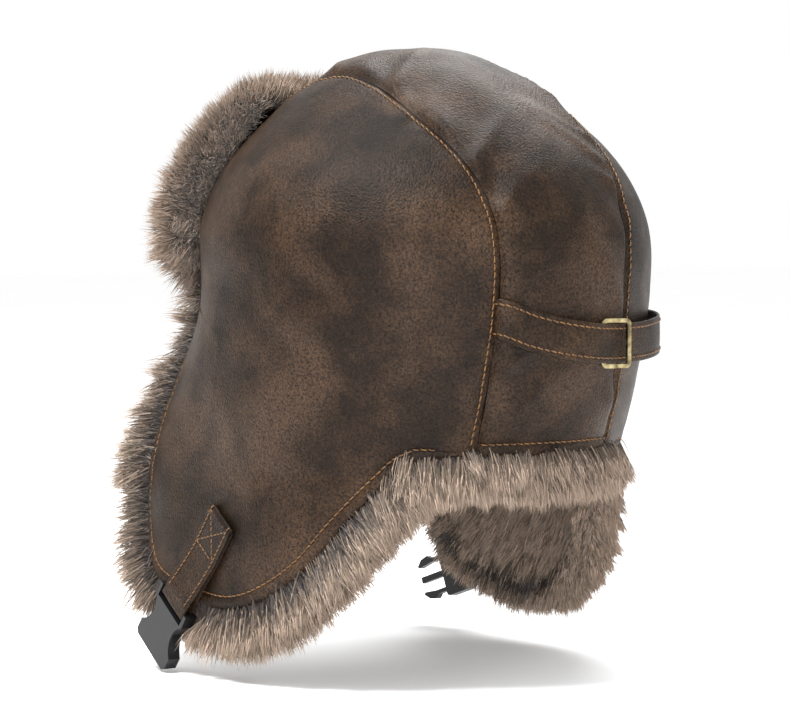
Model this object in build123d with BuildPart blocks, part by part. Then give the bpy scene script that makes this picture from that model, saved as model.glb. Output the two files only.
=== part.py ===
from build123d import *
from math import cos, radians, sin
import os

# Trapper hat. Millimetres, +Z up, the wearer faces -Y and the wearer's left is +X.
# Z = 0 is the level at which the ear flaps fold; the nape hem is a little higher.

# --- Crown form: height, half width, half depth, centre moved towards the back ---
CROWN_SECTIONS = (
    (-8, 97.5, 117.5, -31),
    (0, 98, 116, -28),
    (40, 102, 110, -12),
    (80, 104, 104.1, 0),
    (113, 103, 103.1, 0),
    (131, 96, 96.1, -1),
    (145, 86, 86.1, -2),
    (160, 71, 71.1, -4),
    (174, 54, 54.1, -5),
    (184, 37, 37.1, -6),
    (191, 17, 17.1, -6),
)
CROWN_TOP = 191
CROWN_WIDEST = 100
FOREHEAD = 80
CHEEK_TOP = -80
CHEEK_BOTTOM = -84

# --- Layers, as distances in from the crown's outer surface ---
LEATHER = 1.8
PADDED = 5.0
LINED = 9.0
FUR_OUTER = 1.0
FUR_INNER = 16.0

# --- Centre panel: half width at several heights ---
SEAM = ((41, -20), (40.5, 40), (40, 95), (43, 131), (46, 146), (50, 166), (42, 210))

# --- Ear flaps, drawn from the side as distance back and height ---
FLAP_TOP = -0.8
FLAP_REAR = 64
FLAP_EDGE = ((-84, FLAP_TOP), (-91, -28), (-82, -48), (-22, -64), (17, -49), (43, -20), (58, -2.5))
FUR_EDGE = ((-100, FLAP_TOP), (-110, -30), (-98, -62), (-24, -84), (30, -70), (56, -40), (FLAP_REAR, -14))
FLAP_FUR_DEPTH = 22.0

# --- Fur at the nape and at the cheeks ---
NAPE_FRONT = 67
NAPE_HEM = 8.5
NAPE_FUR_DROP = 15
NAPE_FUR_RISE = 28
CHEEK_FUR = 17

# --- Front visor, folded up: radius and height of its inner face ---
VISOR_FACE = ((106.5, 80.5), (106.5, 114), (98, 138), (84, 162), (76, 175))
VISOR_FUR = ((76, 181), (92, 180), (108, 166), (124, 132), (129, 108), (122, 83))
VISOR_SPAN = 88
VISOR_FUR_SPAN = 96
VISOR_PADDING = 4.0

# --- Rear adjuster strap and slider ---
REAR_STRAP_HEIGHT = 17.6
REAR_STRAP_THICK = 1.6
REAR_STRAP_LEVEL = 58.5
REAR_STRAP_NEAR = 70.5
REAR_STRAP_FAR = 63
SLIDER_TURN = 13
SLIDER_RADIUS = 107.2
SLIDER_LENGTH = 15.0
SLIDER_BAR = 1.8
SLIDER_TILT = -25
SLIDER_GAP = 0.4

# --- Chin straps ---
STRAP_WIDTH = 20
STRAP_THICK = 2.4
STRAP_FACE = 98.05
STRAP_SEWN = 25.0
STRAP_FREE = {1: 28.0, -1: 61.0}
STRAP_LIFT = 4.7
STRAP_LEAN = {1: 38, -1: 68}
STRAP_START = {1: (-22, -21), -1: (-20, -32)}
LOOP_OUTER = 3.0
LOOP_INNER = 1.8

# --- Side release buckle ---
BAR_RADIUS = 1.4
BUCKLE_THICK = 6.4
BUCKLE_WIDTH = 25.2
BUCKLE_SLOT = 10.6
PLUG_CURL = -16.7
MOUTH_HALF = 10.9
MOUTH_HEIGHT = 4.4
ARM_ROOT = (13.9, 8.4)

SIDES = ((1, "left"), (-1, "right"))

os.makedirs("parts", exist_ok=True)


def crown_form(inset, mode=Mode.ADD):
    """Loft the crown's closed form, moved in by inset."""
    levels = []
    for height, half_width, half_depth, centre in CROWN_SECTIONS:
        lowered = height - inset * max(0, height - CROWN_WIDEST) / (CROWN_TOP - CROWN_WIDEST)
        with BuildSketch(Plane.XY.offset(lowered)) as level:
            with Locations((0, centre)):
                Ellipse(half_width - inset, half_depth - inset)
        levels.append(level.sketch)
    loft(levels, mode=mode)


def crown_layer(outer, inner):
    """Make the layer between two insets of the crown, from the hem up, without the face opening."""
    crown_form(outer)
    crown_form(inner, Mode.SUBTRACT)
    Box(300, 400, 220, align=(Align.CENTER, Align.CENTER, Align.MIN), mode=Mode.INTERSECT)
    with BuildSketch(Plane.YZ.offset(-150)) as opening:
        with BuildLine():
            Polyline((-200, FOREHEAD), (CHEEK_TOP, FOREHEAD), (CHEEK_BOTTOM, -1), (-200, -1), close=True)
        make_face()
        with BuildLine():
            Polyline((56, -1), (NAPE_FRONT - 0.5, NAPE_HEM), (200, NAPE_HEM), (200, -1), close=True)
        make_face()
    extrude(opening.sketch, amount=300, mode=Mode.SUBTRACT)


def centre_band(mode):
    """Keep or take away what lies between the two crown seams."""
    with BuildSketch(Plane.XZ.offset(-200)) as band:
        with BuildLine():
            Spline(*SEAM)
            Line(SEAM[-1], (-SEAM[-1][0], SEAM[-1][1]))
            Spline(*[(-x, z) for x, z in SEAM])
            Line((-SEAM[0][0], SEAM[0][1]), SEAM[0])
        make_face()
    extrude(band.sketch, amount=400, mode=mode)


def hem_ring(outer, inner, bottom, top):
    """Make an upright ring that follows the crown's hem, between two insets and two heights."""
    height, half_width, half_depth, centre = CROWN_SECTIONS[1]
    with BuildSketch(Plane.XY.offset(bottom)) as ring:
        with Locations((0, centre)):
            Ellipse(half_width - outer, half_depth - outer)
            Ellipse(half_width - inner, half_depth - inner, mode=Mode.SUBTRACT)
    extrude(ring.sketch, amount=top - bottom)


def side_outline(points, side, mode):
    """Push a shape drawn from the side, closed along the fold line, out to one side of the hat."""
    with BuildSketch(Plane.YZ) as outline:
        with BuildLine():
            Spline(*points)
            Polyline(points[-1], (FLAP_REAR, FLAP_TOP), points[0])
        make_face()
    extrude(outline.sketch, amount=side * 150, mode=mode)


def finish(part, label):
    """Name a sub-part and write its file."""
    part.label = label
    export_step(part, f"parts/{label}.step")


# --- Crown: three leather panels over padding and lining ---
with BuildPart() as crown_centre_panel:
    crown_layer(0, LEATHER)
    centre_band(Mode.INTERSECT)
finish(crown_centre_panel.part, "crown_centre_panel")

for side, name in SIDES:
    with BuildPart() as side_panel:
        crown_layer(0, LEATHER)
        centre_band(Mode.SUBTRACT)
        with Locations((side * 100, 0, 100)):
            Box(200, 400, 300, mode=Mode.INTERSECT)
    finish(side_panel.part, f"{name}_side_panel")

with BuildPart() as crown_padding:
    crown_layer(LEATHER, PADDED)
finish(crown_padding.part, "crown_padding")

with BuildPart() as crown_lining:
    crown_layer(PADDED, LINED)
finish(crown_lining.part, "crown_lining")

# --- Fur that shows below the nape hem and in front of the cheeks ---
with BuildPart() as nape_fur:
    hem_ring(FUR_OUTER, FUR_INNER, -NAPE_FUR_DROP, NAPE_HEM - 0.1)
    hem_ring(LINED + 0.3, FUR_INNER, NAPE_HEM - 0.1, NAPE_FUR_RISE)
    with Locations((0, NAPE_FRONT + 100, 0)):
        Box(300, 200, 200, mode=Mode.INTERSECT)
finish(nape_fur.part, "nape_fur")

for side, name in SIDES:
    with BuildPart() as cheek_fur:
        crown_form(FUR_OUTER)
        crown_form(FUR_INNER, Mode.SUBTRACT)
        with BuildSketch(Plane.YZ):
            with BuildLine():
                Polyline(
                    (CHEEK_TOP - 0.2, FOREHEAD - 3),
                    (CHEEK_BOTTOM - 0.2, 0.6),
                    (CHEEK_BOTTOM - CHEEK_FUR, 0.6),
                    (CHEEK_TOP - CHEEK_FUR + 4, FOREHEAD - 3),
                    close=True,
                )
            make_face()
        extrude(amount=side * 150, mode=Mode.INTERSECT)
    finish(cheek_fur.part, f"{name}_cheek_fur")

# --- Ear flaps: leather, padding, and fur that backs them and shows round the edge ---
for side, name in SIDES:
    with BuildPart() as flap_shell:
        hem_ring(0, LEATHER, -100, FLAP_TOP)
        side_outline(FLAP_EDGE, side, Mode.INTERSECT)
    finish(flap_shell.part, f"{name}_flap_shell")

    with BuildPart() as flap_padding:
        hem_ring(LEATHER, PADDED, -100, FLAP_TOP)
        side_outline(FLAP_EDGE, side, Mode.INTERSECT)
    finish(flap_padding.part, f"{name}_flap_padding")

    with BuildPart() as leather_place:
        hem_ring(-1, PADDED, -100, FLAP_TOP + 1)
        side_outline(FLAP_EDGE, side, Mode.INTERSECT)

    with BuildPart() as flap_fur:
        hem_ring(FUR_OUTER, FLAP_FUR_DEPTH, -100, FLAP_TOP)
        side_outline(FUR_EDGE, side, Mode.INTERSECT)
        add(leather_place.part, mode=Mode.SUBTRACT)
    finish(flap_fur.part, f"{name}_flap_fur")


# --- Front visor ---
def face_back(distance):
    """Give the visor's inner face, moved out by distance, from the top down."""
    return [(r + distance, z) for r, z in reversed(VISOR_FACE)]


def visor_layer(near, far, span):
    """Turn the layer between two distances out from the visor's inner face."""
    start = radians(-90 - span / 2)
    across = Vector(cos(start), sin(start), 0)
    with BuildSketch(Plane((0, 0, 0), x_dir=across, z_dir=across.cross(Vector(0, 0, 1)))) as section:
        with BuildLine():
            inner = [(r + near, z) for r, z in VISOR_FACE]
            Polyline(*inner, *far, close=True)
        make_face()
    revolve(section.sketch, axis=Axis.Z, revolution_arc=span)
    with BuildSketch(Plane.XZ.offset(-50)) as front:
        with BuildLine():
            Polyline((-108, 79), (108, 79), (108, 122), (74, 182), (-74, 182), (-108, 122), close=True)
        make_face()
        fillet([v for v in front.vertices() if v.Z > 100 or v.Y > 100], 18)
    extrude(front.sketch, amount=250, mode=Mode.INTERSECT)


with BuildPart() as visor_backing:
    visor_layer(0, face_back(LEATHER), VISOR_SPAN)
finish(visor_backing.part, "visor_backing")

with BuildPart() as visor_padding:
    visor_layer(LEATHER, face_back(VISOR_PADDING), VISOR_SPAN)
finish(visor_padding.part, "visor_padding")

with BuildPart() as visor_fur:
    visor_layer(VISOR_PADDING, VISOR_FUR, VISOR_FUR_SPAN)
finish(visor_fur.part, "visor_fur")

# --- Rear adjuster strap, straight where the slider runs, and the slider round it ---
turn = radians(90 + SLIDER_TURN)
slider_normal = Vector(cos(turn), sin(turn), 0)
slider_along = Vector(-sin(turn), cos(turn), 0)
slider_centre = slider_normal * SLIDER_RADIUS

with BuildPart() as rear_adjuster_strap:
    with BuildSketch(Plane.XY.offset(30)):
        with BuildLine():
            straight_start = slider_centre - slider_along * 16
            straight_end = slider_centre + slider_along * 16
            Spline((42.2, 95.5), (24, 102.8), (straight_start.X, straight_start.Y))
            Line((straight_start.X, straight_start.Y), (straight_end.X, straight_end.Y))
            Spline((straight_end.X, straight_end.Y), (-80.8, 69.4), (-92.4, 48))
        trace(line_width=REAR_STRAP_THICK)
    extrude(amount=60)
    half = REAR_STRAP_HEIGHT / 2
    with BuildSketch(Plane.XZ.offset(20)):
        with BuildLine():
            Polyline(
                (44, REAR_STRAP_NEAR + half),
                (-5, REAR_STRAP_LEVEL + half),
                (-43, REAR_STRAP_LEVEL + half),
                (-95, REAR_STRAP_FAR + half),
                (-95, REAR_STRAP_FAR - half),
                (-43, REAR_STRAP_LEVEL - half),
                (-5, REAR_STRAP_LEVEL - half),
                (44, REAR_STRAP_NEAR - half),
                close=True,
            )
        make_face()
    extrude(amount=-180, mode=Mode.INTERSECT)
finish(rear_adjuster_strap.part, "rear_adjuster_strap")

tilt = radians(SLIDER_TILT)
ring_normal = slider_normal * cos(tilt) + slider_along * sin(tilt)
ring_across = slider_along * cos(tilt) - slider_normal * sin(tilt)
ring_origin = slider_centre + Vector(0, 0, REAR_STRAP_LEVEL)
ring_open = REAR_STRAP_HEIGHT + 2 * SLIDER_GAP
with BuildPart() as rear_slider:
    with BuildSketch(Plane(ring_origin, x_dir=ring_across, z_dir=ring_normal)):
        RectangleRounded(SLIDER_LENGTH, ring_open + 2 * SLIDER_BAR, 2.6)
        RectangleRounded(SLIDER_LENGTH - 2 * SLIDER_BAR, ring_open, 1.0, mode=Mode.SUBTRACT)
    extrude(amount=SLIDER_BAR / 2, both=True)
finish(rear_slider.part, "rear_slider")


# --- Chin straps ---
def strap_plane(side, along, out, angle=0):
    """Give the plane of a chin strap at a point along it, turned outwards by angle."""
    lean = radians(STRAP_LEAN[side])
    start_y, start_z = STRAP_START[side]
    down = Vector(0, -sin(lean), -cos(lean))
    away = Vector(side, 0, 0)
    origin = Vector(side * STRAP_FACE, start_y, start_z) + down * along + away * out
    turned = radians(angle)
    return Plane(
        origin,
        x_dir=down * cos(turned) + away * sin(turned),
        z_dir=away * cos(turned) - down * sin(turned),
    )


def profile_plane(plane):
    """Give the plane of a strap's side profile: along the strap, then out from the flap."""
    return Plane(plane.origin, x_dir=plane.x_dir, z_dir=plane.x_dir.cross(plane.z_dir))


def bar_plane(side, angle):
    """Give the plane of a buckle half, with its origin on the strap bar."""
    hinge = strap_plane(side, STRAP_SEWN, STRAP_THICK / 2 + 0.5, STRAP_LIFT)
    turned = strap_plane(side, 0, 0, angle)
    origin = hinge.origin + hinge.x_dir * STRAP_FREE[side]
    return Plane(origin, x_dir=turned.x_dir, z_dir=turned.z_dir)


for side, name in SIDES:
    with BuildPart() as strap_anchor:
        with BuildSketch(strap_plane(side, 0, 0)):
            with Locations(((STRAP_SEWN - 1.6) / 2, 0)):
                Rectangle(STRAP_SEWN - 1.6, STRAP_WIDTH)
        extrude(amount=STRAP_THICK)
    finish(strap_anchor.part, f"{name}_strap_anchor")

    with BuildPart() as chin_strap:
        hinge_plane = strap_plane(side, STRAP_SEWN, STRAP_THICK / 2 + 0.5, STRAP_LIFT)
        with BuildSketch(profile_plane(hinge_plane)):
            Circle(STRAP_THICK / 2)
            with Locations((STRAP_FREE[side] / 2, 0)):
                Rectangle(STRAP_FREE[side], STRAP_THICK)
            with Locations((STRAP_FREE[side], 0)):
                Circle(LOOP_OUTER)
                Circle(LOOP_INNER, mode=Mode.SUBTRACT)
        extrude(amount=STRAP_WIDTH / 2, both=True)
    finish(chin_strap.part, f"{name}_chin_strap")


# --- Buckle halves ---
def strap_bar(plane, half_width):
    """Open the strap end of a buckle half and put its round bar across."""
    with BuildSketch(plane) as slot:
        Rectangle(8.4, 2 * BUCKLE_SLOT)
    extrude(slot.sketch, amount=BUCKLE_THICK, both=True, mode=Mode.SUBTRACT)
    with BuildSketch(profile_plane(plane)) as bar:
        Circle(BAR_RADIUS)
    extrude(bar.sketch, amount=half_width, both=True)


socket_plane = bar_plane(1, 0)
with BuildPart() as left_buckle_socket:
    with BuildSketch(socket_plane) as socket_sketch:
        with BuildLine():
            Polyline((-2.4, 0), (-2.4, BUCKLE_WIDTH / 2), (4.2, BUCKLE_WIDTH / 2))
            Spline((4.2, BUCKLE_WIDTH / 2), (11.5, 9), (18.5, 10.6), (22.5, 14))
            Polyline((22.5, 14), (28.5, 14), (30.5, 12), (30.5, 0))
            mirror(about=Plane.XZ)
        make_face()
    extrude(amount=BUCKLE_THICK / 2, both=True)
    with BuildSketch(socket_plane):
        with Locations((22.5, 0)):
            Rectangle(22, 2 * MOUTH_HALF)
    extrude(amount=MOUTH_HEIGHT / 2, both=True, mode=Mode.SUBTRACT)
    strap_bar(socket_plane, BUCKLE_WIDTH / 2 - 0.1)
finish(left_buckle_socket.part, "left_buckle_socket")

plug_plane = bar_plane(-1, PLUG_CURL)
with BuildPart() as right_buckle_plug:
    with BuildSketch(plug_plane):
        with Locations((4.8, 0)):
            RectangleRounded(14.4, BUCKLE_WIDTH, 1.5)
    extrude(amount=BUCKLE_THICK / 2, both=True)
    with BuildSketch(plug_plane):
        with Locations((19, 0)):
            Rectangle(15, 3.2)
    extrude(amount=1.6, both=True)
    strap_bar(plug_plane, BUCKLE_WIDTH / 2 - 0.1)
finish(right_buckle_plug.part, "right_buckle_plug")

for turn_side, name in ((1, "upper"), (-1, "lower")):
    with BuildPart() as plug_arm:
        with BuildSketch(plug_plane):
            with BuildLine():
                root_x, root_y = ARM_ROOT
                Polyline(
                    (root_x - 1.2, turn_side * (root_y - 1)),
                    (root_x - 1.2, turn_side * (root_y + 1)),
                    (root_x + 4, turn_side * (root_y + 1.2)),
                    (root_x + 6, turn_side * (root_y + 3)),
                    (root_x + 10, turn_side * (root_y + 2)),
                    (root_x + 13, turn_side * (root_y - 1)),
                    (root_x + 12, turn_side * (root_y - 2)),
                    (root_x + 5, turn_side * (root_y - 1)),
                    close=True,
                )
            make_face()
        extrude(amount=1.9, both=True)
    finish(plug_arm.part, f"plug_arm_{name}")
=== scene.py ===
"""A trapper hat: distressed faux leather, long fur edges, a folded visor, two ear flaps and a chin buckle."""

import logging
import math
from dataclasses import dataclass, field
from enum import Enum
from typing import Callable, Sequence

import bpy
import numpy as np
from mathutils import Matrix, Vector, noise


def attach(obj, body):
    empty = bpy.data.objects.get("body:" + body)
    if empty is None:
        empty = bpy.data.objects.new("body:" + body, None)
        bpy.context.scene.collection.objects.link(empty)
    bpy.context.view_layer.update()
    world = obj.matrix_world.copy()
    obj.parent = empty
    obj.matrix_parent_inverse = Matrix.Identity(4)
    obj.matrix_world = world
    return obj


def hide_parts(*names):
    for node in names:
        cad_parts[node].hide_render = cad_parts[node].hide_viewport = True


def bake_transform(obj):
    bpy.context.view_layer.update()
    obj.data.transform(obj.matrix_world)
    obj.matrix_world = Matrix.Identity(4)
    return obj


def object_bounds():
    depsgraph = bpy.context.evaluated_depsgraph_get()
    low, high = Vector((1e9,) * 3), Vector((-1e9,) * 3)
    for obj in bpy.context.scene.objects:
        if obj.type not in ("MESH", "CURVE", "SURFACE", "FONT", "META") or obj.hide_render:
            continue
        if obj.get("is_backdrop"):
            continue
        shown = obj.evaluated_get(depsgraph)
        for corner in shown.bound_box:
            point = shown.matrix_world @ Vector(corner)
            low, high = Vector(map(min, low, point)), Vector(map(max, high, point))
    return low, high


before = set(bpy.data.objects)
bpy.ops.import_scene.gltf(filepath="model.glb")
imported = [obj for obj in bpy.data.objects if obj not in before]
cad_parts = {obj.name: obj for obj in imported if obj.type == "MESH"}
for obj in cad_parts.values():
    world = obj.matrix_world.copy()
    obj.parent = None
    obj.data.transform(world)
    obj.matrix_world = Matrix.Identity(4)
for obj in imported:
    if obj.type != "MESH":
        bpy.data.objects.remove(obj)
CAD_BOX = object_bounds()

LOG = logging.getLogger("trapper_hat")
MM = 0.001
UP = np.array([0.0, 0.0, 1.0])
# The band over which the ear flaps bend, and how far from the middle it is.
FOLD_TOP = 0.008
FOLD_FOOT = -0.012
# Behind this the edge belongs to the nape, which doesn't fold.
NAPE_START = 0.057


# ---------------------------------------------------------------- colour and nodes
def to_linear(code: str) -> tuple[float, float, float, float]:
    """Turn an sRGB hex colour into linear RGBA.

    Args:
        code: six hex digits, with or without a leading hash.

    Returns:
        Linear red, green, blue and an alpha of one.
    """
    digits = code.lstrip("#")
    channels = [int(digits[i : i + 2], 16) / 255 for i in (0, 2, 4)]
    linear = [c / 12.92 if c <= 0.04045 else ((c + 0.055) / 1.055) ** 2.4 for c in channels]
    return (linear[0], linear[1], linear[2], 1.0)


def add_node(tree: bpy.types.NodeTree, kind: str, settings: dict, links: dict | None = None) -> bpy.types.Node:
    """Add one shader node, set its values and link its inputs.

    Args:
        tree: the node tree of the material.
        kind: the node's type name.
        settings: values, by property name or input socket name; a ramp's stops are positions and hex colours.
        links: output sockets to join, by input socket name.

    Returns:
        The new node.
    """
    node = tree.nodes.new(kind)
    for key, value in settings.items():
        if key == "stops":
            elements = node.color_ramp.elements
            elements.remove(elements[-1])
            elements[0].position, elements[0].color = value[0][0], to_linear(value[0][1])
            for position, code in value[1:]:
                elements.new(position).color = to_linear(code)
        elif key in node.inputs:
            node.inputs[key].default_value = value
        else:
            setattr(node, key, value)
    for key, output in (links or {}).items():
        tree.links.new(output, node.inputs[key])
    return node


def new_material(name: str, look: dict) -> tuple[bpy.types.Material, bpy.types.NodeTree, bpy.types.Node]:
    """Make a node material with one shader.

    Args:
        name: the material's name.
        look: the shader's values, by socket name.

    Returns:
        The material, its node tree and its Principled shader.
    """
    material = bpy.data.materials.new(name)
    material.use_nodes = True
    tree = material.node_tree
    tree.nodes.clear()
    shader = add_node(tree, "ShaderNodeBsdfPrincipled", look)
    add_node(tree, "ShaderNodeOutputMaterial", {}, {"Surface": shader.outputs["BSDF"]})
    return material, tree, shader


# ---------------------------------------------------------------- finishes
@dataclass(frozen=True)
class DistressedLeather:
    """Embossed polyurethane leather, rubbed back by hand: a fine pebble grain with partly painted shade in its
    hollows, and cloudy paler patches that are partly painted highlight.
    """

    name: str = "distressed_polyurethane_leather"
    dark: str = "#110a05"
    body: str = "#1e140c"
    rubbed: str = "#2c1f14"
    # The pale grey below is partly the bloom of rubbed finish and partly painted highlight.
    bloom_and_highlight: str = "#423226"
    grain_mm: float = 1.05
    mottle_mm: float = 1.15
    cloud_mm: float = 34.0
    bloom_mm: float = 52.0
    emboss_mm: float = 0.5

    def build(self) -> bpy.types.Material:
        """Build the leather's nodes.

        Returns:
            The material.
        """
        look = {"IOR": 1.48, "Specular IOR Level": 0.12}
        material, tree, shader = new_material(self.name, look)
        place = {"Vector": add_node(tree, "ShaderNodeTexCoord", {}).outputs["Object"]}
        # Broad clouds where the finish was rubbed thin.
        settings = {"Scale": 1 / (self.cloud_mm * MM), "Detail": 4.0, "Roughness": 0.6}
        clouds = add_node(tree, "ShaderNodeTexNoise", settings, place).outputs["Fac"]
        stops = ((0.34, self.dark), (0.50, self.body), (0.66, self.rubbed))
        tone = add_node(tree, "ShaderNodeValToRGB", {"stops": stops}, {"Fac": clouds}).outputs["Color"]
        # A greyish bloom where the noise peaks: partly rubbed finish, partly painted highlight.
        settings = {"Scale": 1 / (self.bloom_mm * MM), "Detail": 3.0, "Roughness": 0.5, "Distortion": 0.6}
        bloom_and_highlight_noise = add_node(tree, "ShaderNodeTexNoise", settings, place).outputs["Fac"]
        reach = {"From Min": 0.48, "From Max": 0.70, "To Min": 0.0, "To Max": 0.5}
        share = add_node(tree, "ShaderNodeMapRange", reach, {"Value": bloom_and_highlight_noise}).outputs["Result"]
        # Mixing in the pale grey paints highlight patches over the leather, along with the rubbed bloom.
        settings = {"Color2": to_linear(self.bloom_and_highlight)}
        with_bloom_and_highlight = add_node(tree, "ShaderNodeMixRGB", settings, {"Fac": share, "Color1": tone})
        # Pebble grain: raised grains in the bump, and a fine mottle that also multiplies the colour, darker
        # where it sinks the surface and lighter where it lifts it: partly the grain's own tone, partly painted
        # shade and light.
        settings = {"Scale": 1 / (self.grain_mm * MM), "Randomness": 1.0}
        pebbles = add_node(tree, "ShaderNodeTexVoronoi", settings, place).outputs["Distance"]
        settings = {"Scale": 1 / (self.mottle_mm * MM), "Detail": 3.0, "Roughness": 0.9}
        mottle = add_node(tree, "ShaderNodeTexNoise", settings, place).outputs["Fac"]
        reach = {"From Min": 0.36, "From Max": 0.64, "To Min": 0.15, "To Max": 2.1}
        grain_tone_and_shade = add_node(tree, "ShaderNodeMapRange", reach, {"Value": mottle}).outputs["Result"]
        colours = {"Color1": with_bloom_and_highlight.outputs["Color"], "Color2": grain_tone_and_shade}
        # This multiply paints shade into the grain's hollows and light onto its raised points, over the
        # grain's own tone.
        with_grain_tone_and_shade = add_node(tree, "ShaderNodeMixRGB", {"blend_type": "MULTIPLY", "Fac": 1.0}, colours)
        tree.links.new(with_grain_tone_and_shade.outputs["Color"], shader.inputs["Base Color"])
        # The rubbed patches are smoother than the rest.
        reach = {"From Min": 0.35, "From Max": 0.7, "To Min": 0.50, "To Max": 0.34}
        sheen = add_node(tree, "ShaderNodeMapRange", reach, {"Value": clouds})
        tree.links.new(sheen.outputs["Result"], shader.inputs["Roughness"])
        height = add_node(tree, "ShaderNodeMath", {"operation": "SUBTRACT"}, {0: mottle, 1: pebbles})
        relief = {"Strength": 0.5, "Distance": self.emboss_mm * MM}
        bump = add_node(tree, "ShaderNodeBump", relief, {"Height": height.outputs["Value"]})
        tree.links.new(bump.outputs["Normal"], shader.inputs["Normal"])
        return material


@dataclass(frozen=True)
class PolyesterThread:
    """Bonded polyester topstitching thread, twisted: golden amber, darker in the turns of the twist."""

    name: str = "amber_bonded_polyester_thread"
    colour: str = "#6e4b1f"
    shadow: str = "#3f270f"
    twist_mm: float = 1.11

    def build(self) -> bpy.types.Material:
        """Build the thread's nodes.

        Returns:
            The material.
        """
        material, tree, shader = new_material(self.name, {"Roughness": 0.5})
        place = add_node(tree, "ShaderNodeTexCoord", {}).outputs["Object"]
        settings = {"Scale": 1 / (self.twist_mm * MM), "Detail": 2.0}
        twist = add_node(tree, "ShaderNodeTexNoise", settings, {"Vector": place}).outputs["Fac"]
        stops = ((0.35, self.shadow), (0.6, self.colour))
        tone = add_node(tree, "ShaderNodeValToRGB", {"stops": stops}, {"Fac": twist})
        tree.links.new(tone.outputs["Color"], shader.inputs["Base Color"])
        return material


@dataclass(frozen=True)
class KnittedBacking:
    """The knitted ground that the fur grows from: matt, and hardly seen between the hairs."""

    name: str = "dark_knitted_fur_backing"
    dark: str = "#2c241f"
    light: str = "#4a3f37"
    loop_mm: float = 2.0

    def build(self) -> bpy.types.Material:
        """Build the backing's nodes.

        Returns:
            The material.
        """
        material, tree, shader = new_material(self.name, {"Roughness": 0.95})
        place = add_node(tree, "ShaderNodeTexCoord", {}).outputs["Object"]
        settings = {"Scale": 1 / (self.loop_mm * MM), "Detail": 4.0}
        knit = add_node(tree, "ShaderNodeTexNoise", settings, {"Vector": place}).outputs["Fac"]
        stops = ((0.3, self.dark), (0.7, self.light))
        tone = add_node(tree, "ShaderNodeValToRGB", {"stops": stops}, {"Fac": knit})
        tree.links.new(tone.outputs["Color"], shader.inputs["Base Color"])
        return material


@dataclass(frozen=True)
class QuiltedSatin:
    """Woven polyester satin lining: a soft sheen over a fine weave."""

    name: str = "brown_woven_polyester_lining"
    dark: str = "#2f2620"
    light: str = "#463a31"
    weave_mm: float = 3.125
    relief_mm: float = 0.2

    def build(self) -> bpy.types.Material:
        """Build the lining's nodes.

        Returns:
            The material.
        """
        material, tree, shader = new_material(self.name, {"Roughness": 0.45, "Sheen Weight": 0.25})
        place = add_node(tree, "ShaderNodeTexCoord", {}).outputs["Object"]
        settings = {"Scale": 1 / (self.weave_mm * MM), "Distortion": 2.0, "Detail": 2.0}
        weave = add_node(tree, "ShaderNodeTexWave", settings, {"Vector": place}).outputs["Fac"]
        stops = ((0.2, self.dark), (0.8, self.light))
        tone = add_node(tree, "ShaderNodeValToRGB", {"stops": stops}, {"Fac": weave})
        tree.links.new(tone.outputs["Color"], shader.inputs["Base Color"])
        relief = {"Strength": 0.2, "Distance": self.relief_mm * MM}
        bump = add_node(tree, "ShaderNodeBump", relief, {"Height": weave})
        tree.links.new(bump.outputs["Normal"], shader.inputs["Normal"])
        return material


@dataclass(frozen=True)
class MouldedAcetal:
    """Injection moulded acetal, black, with a fine spark-eroded texture that greys its highlights."""

    name: str = "black_moulded_acetal"
    dark: str = "#08080a"
    light: str = "#151517"
    texture_mm: float = 0.625
    relief_mm: float = 0.1

    def build(self) -> bpy.types.Material:
        """Build the plastic's nodes.

        Returns:
            The material.
        """
        look = {"Roughness": 0.38, "Specular IOR Level": 0.32}
        material, tree, shader = new_material(self.name, look)
        place = add_node(tree, "ShaderNodeTexCoord", {}).outputs["Object"]
        settings = {"Scale": 1 / (self.texture_mm * MM), "Detail": 2.0}
        texture = add_node(tree, "ShaderNodeTexNoise", settings, {"Vector": place}).outputs["Fac"]
        stops = ((0.3, self.dark), (0.75, self.light))
        tone = add_node(tree, "ShaderNodeValToRGB", {"stops": stops}, {"Fac": texture})
        tree.links.new(tone.outputs["Color"], shader.inputs["Base Color"])
        relief = {"Strength": 0.15, "Distance": self.relief_mm * MM}
        bump = add_node(tree, "ShaderNodeBump", relief, {"Height": texture})
        tree.links.new(bump.outputs["Normal"], shader.inputs["Normal"])
        return material


@dataclass(frozen=True)
class AntiqueBrass:
    """Cast brass, darkened and rubbed back: warm bright edges over a brown patina."""

    name: str = "antique_rubbed_brass"
    patina: str = "#5e5440"
    bright: str = "#c9b98a"
    patch_mm: float = 3.85

    def build(self) -> bpy.types.Material:
        """Build the brass's nodes.

        Returns:
            The material.
        """
        material, tree, shader = new_material(self.name, {"Metallic": 1.0, "Roughness": 0.3})
        place = add_node(tree, "ShaderNodeTexCoord", {}).outputs["Object"]
        settings = {"Scale": 1 / (self.patch_mm * MM), "Detail": 3.0}
        patches = add_node(tree, "ShaderNodeTexNoise", settings, {"Vector": place}).outputs["Fac"]
        stops = ((0.35, self.patina), (0.65, self.bright))
        tone = add_node(tree, "ShaderNodeValToRGB", {"stops": stops}, {"Fac": patches})
        tree.links.new(tone.outputs["Color"], shader.inputs["Base Color"])
        return material


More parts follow.
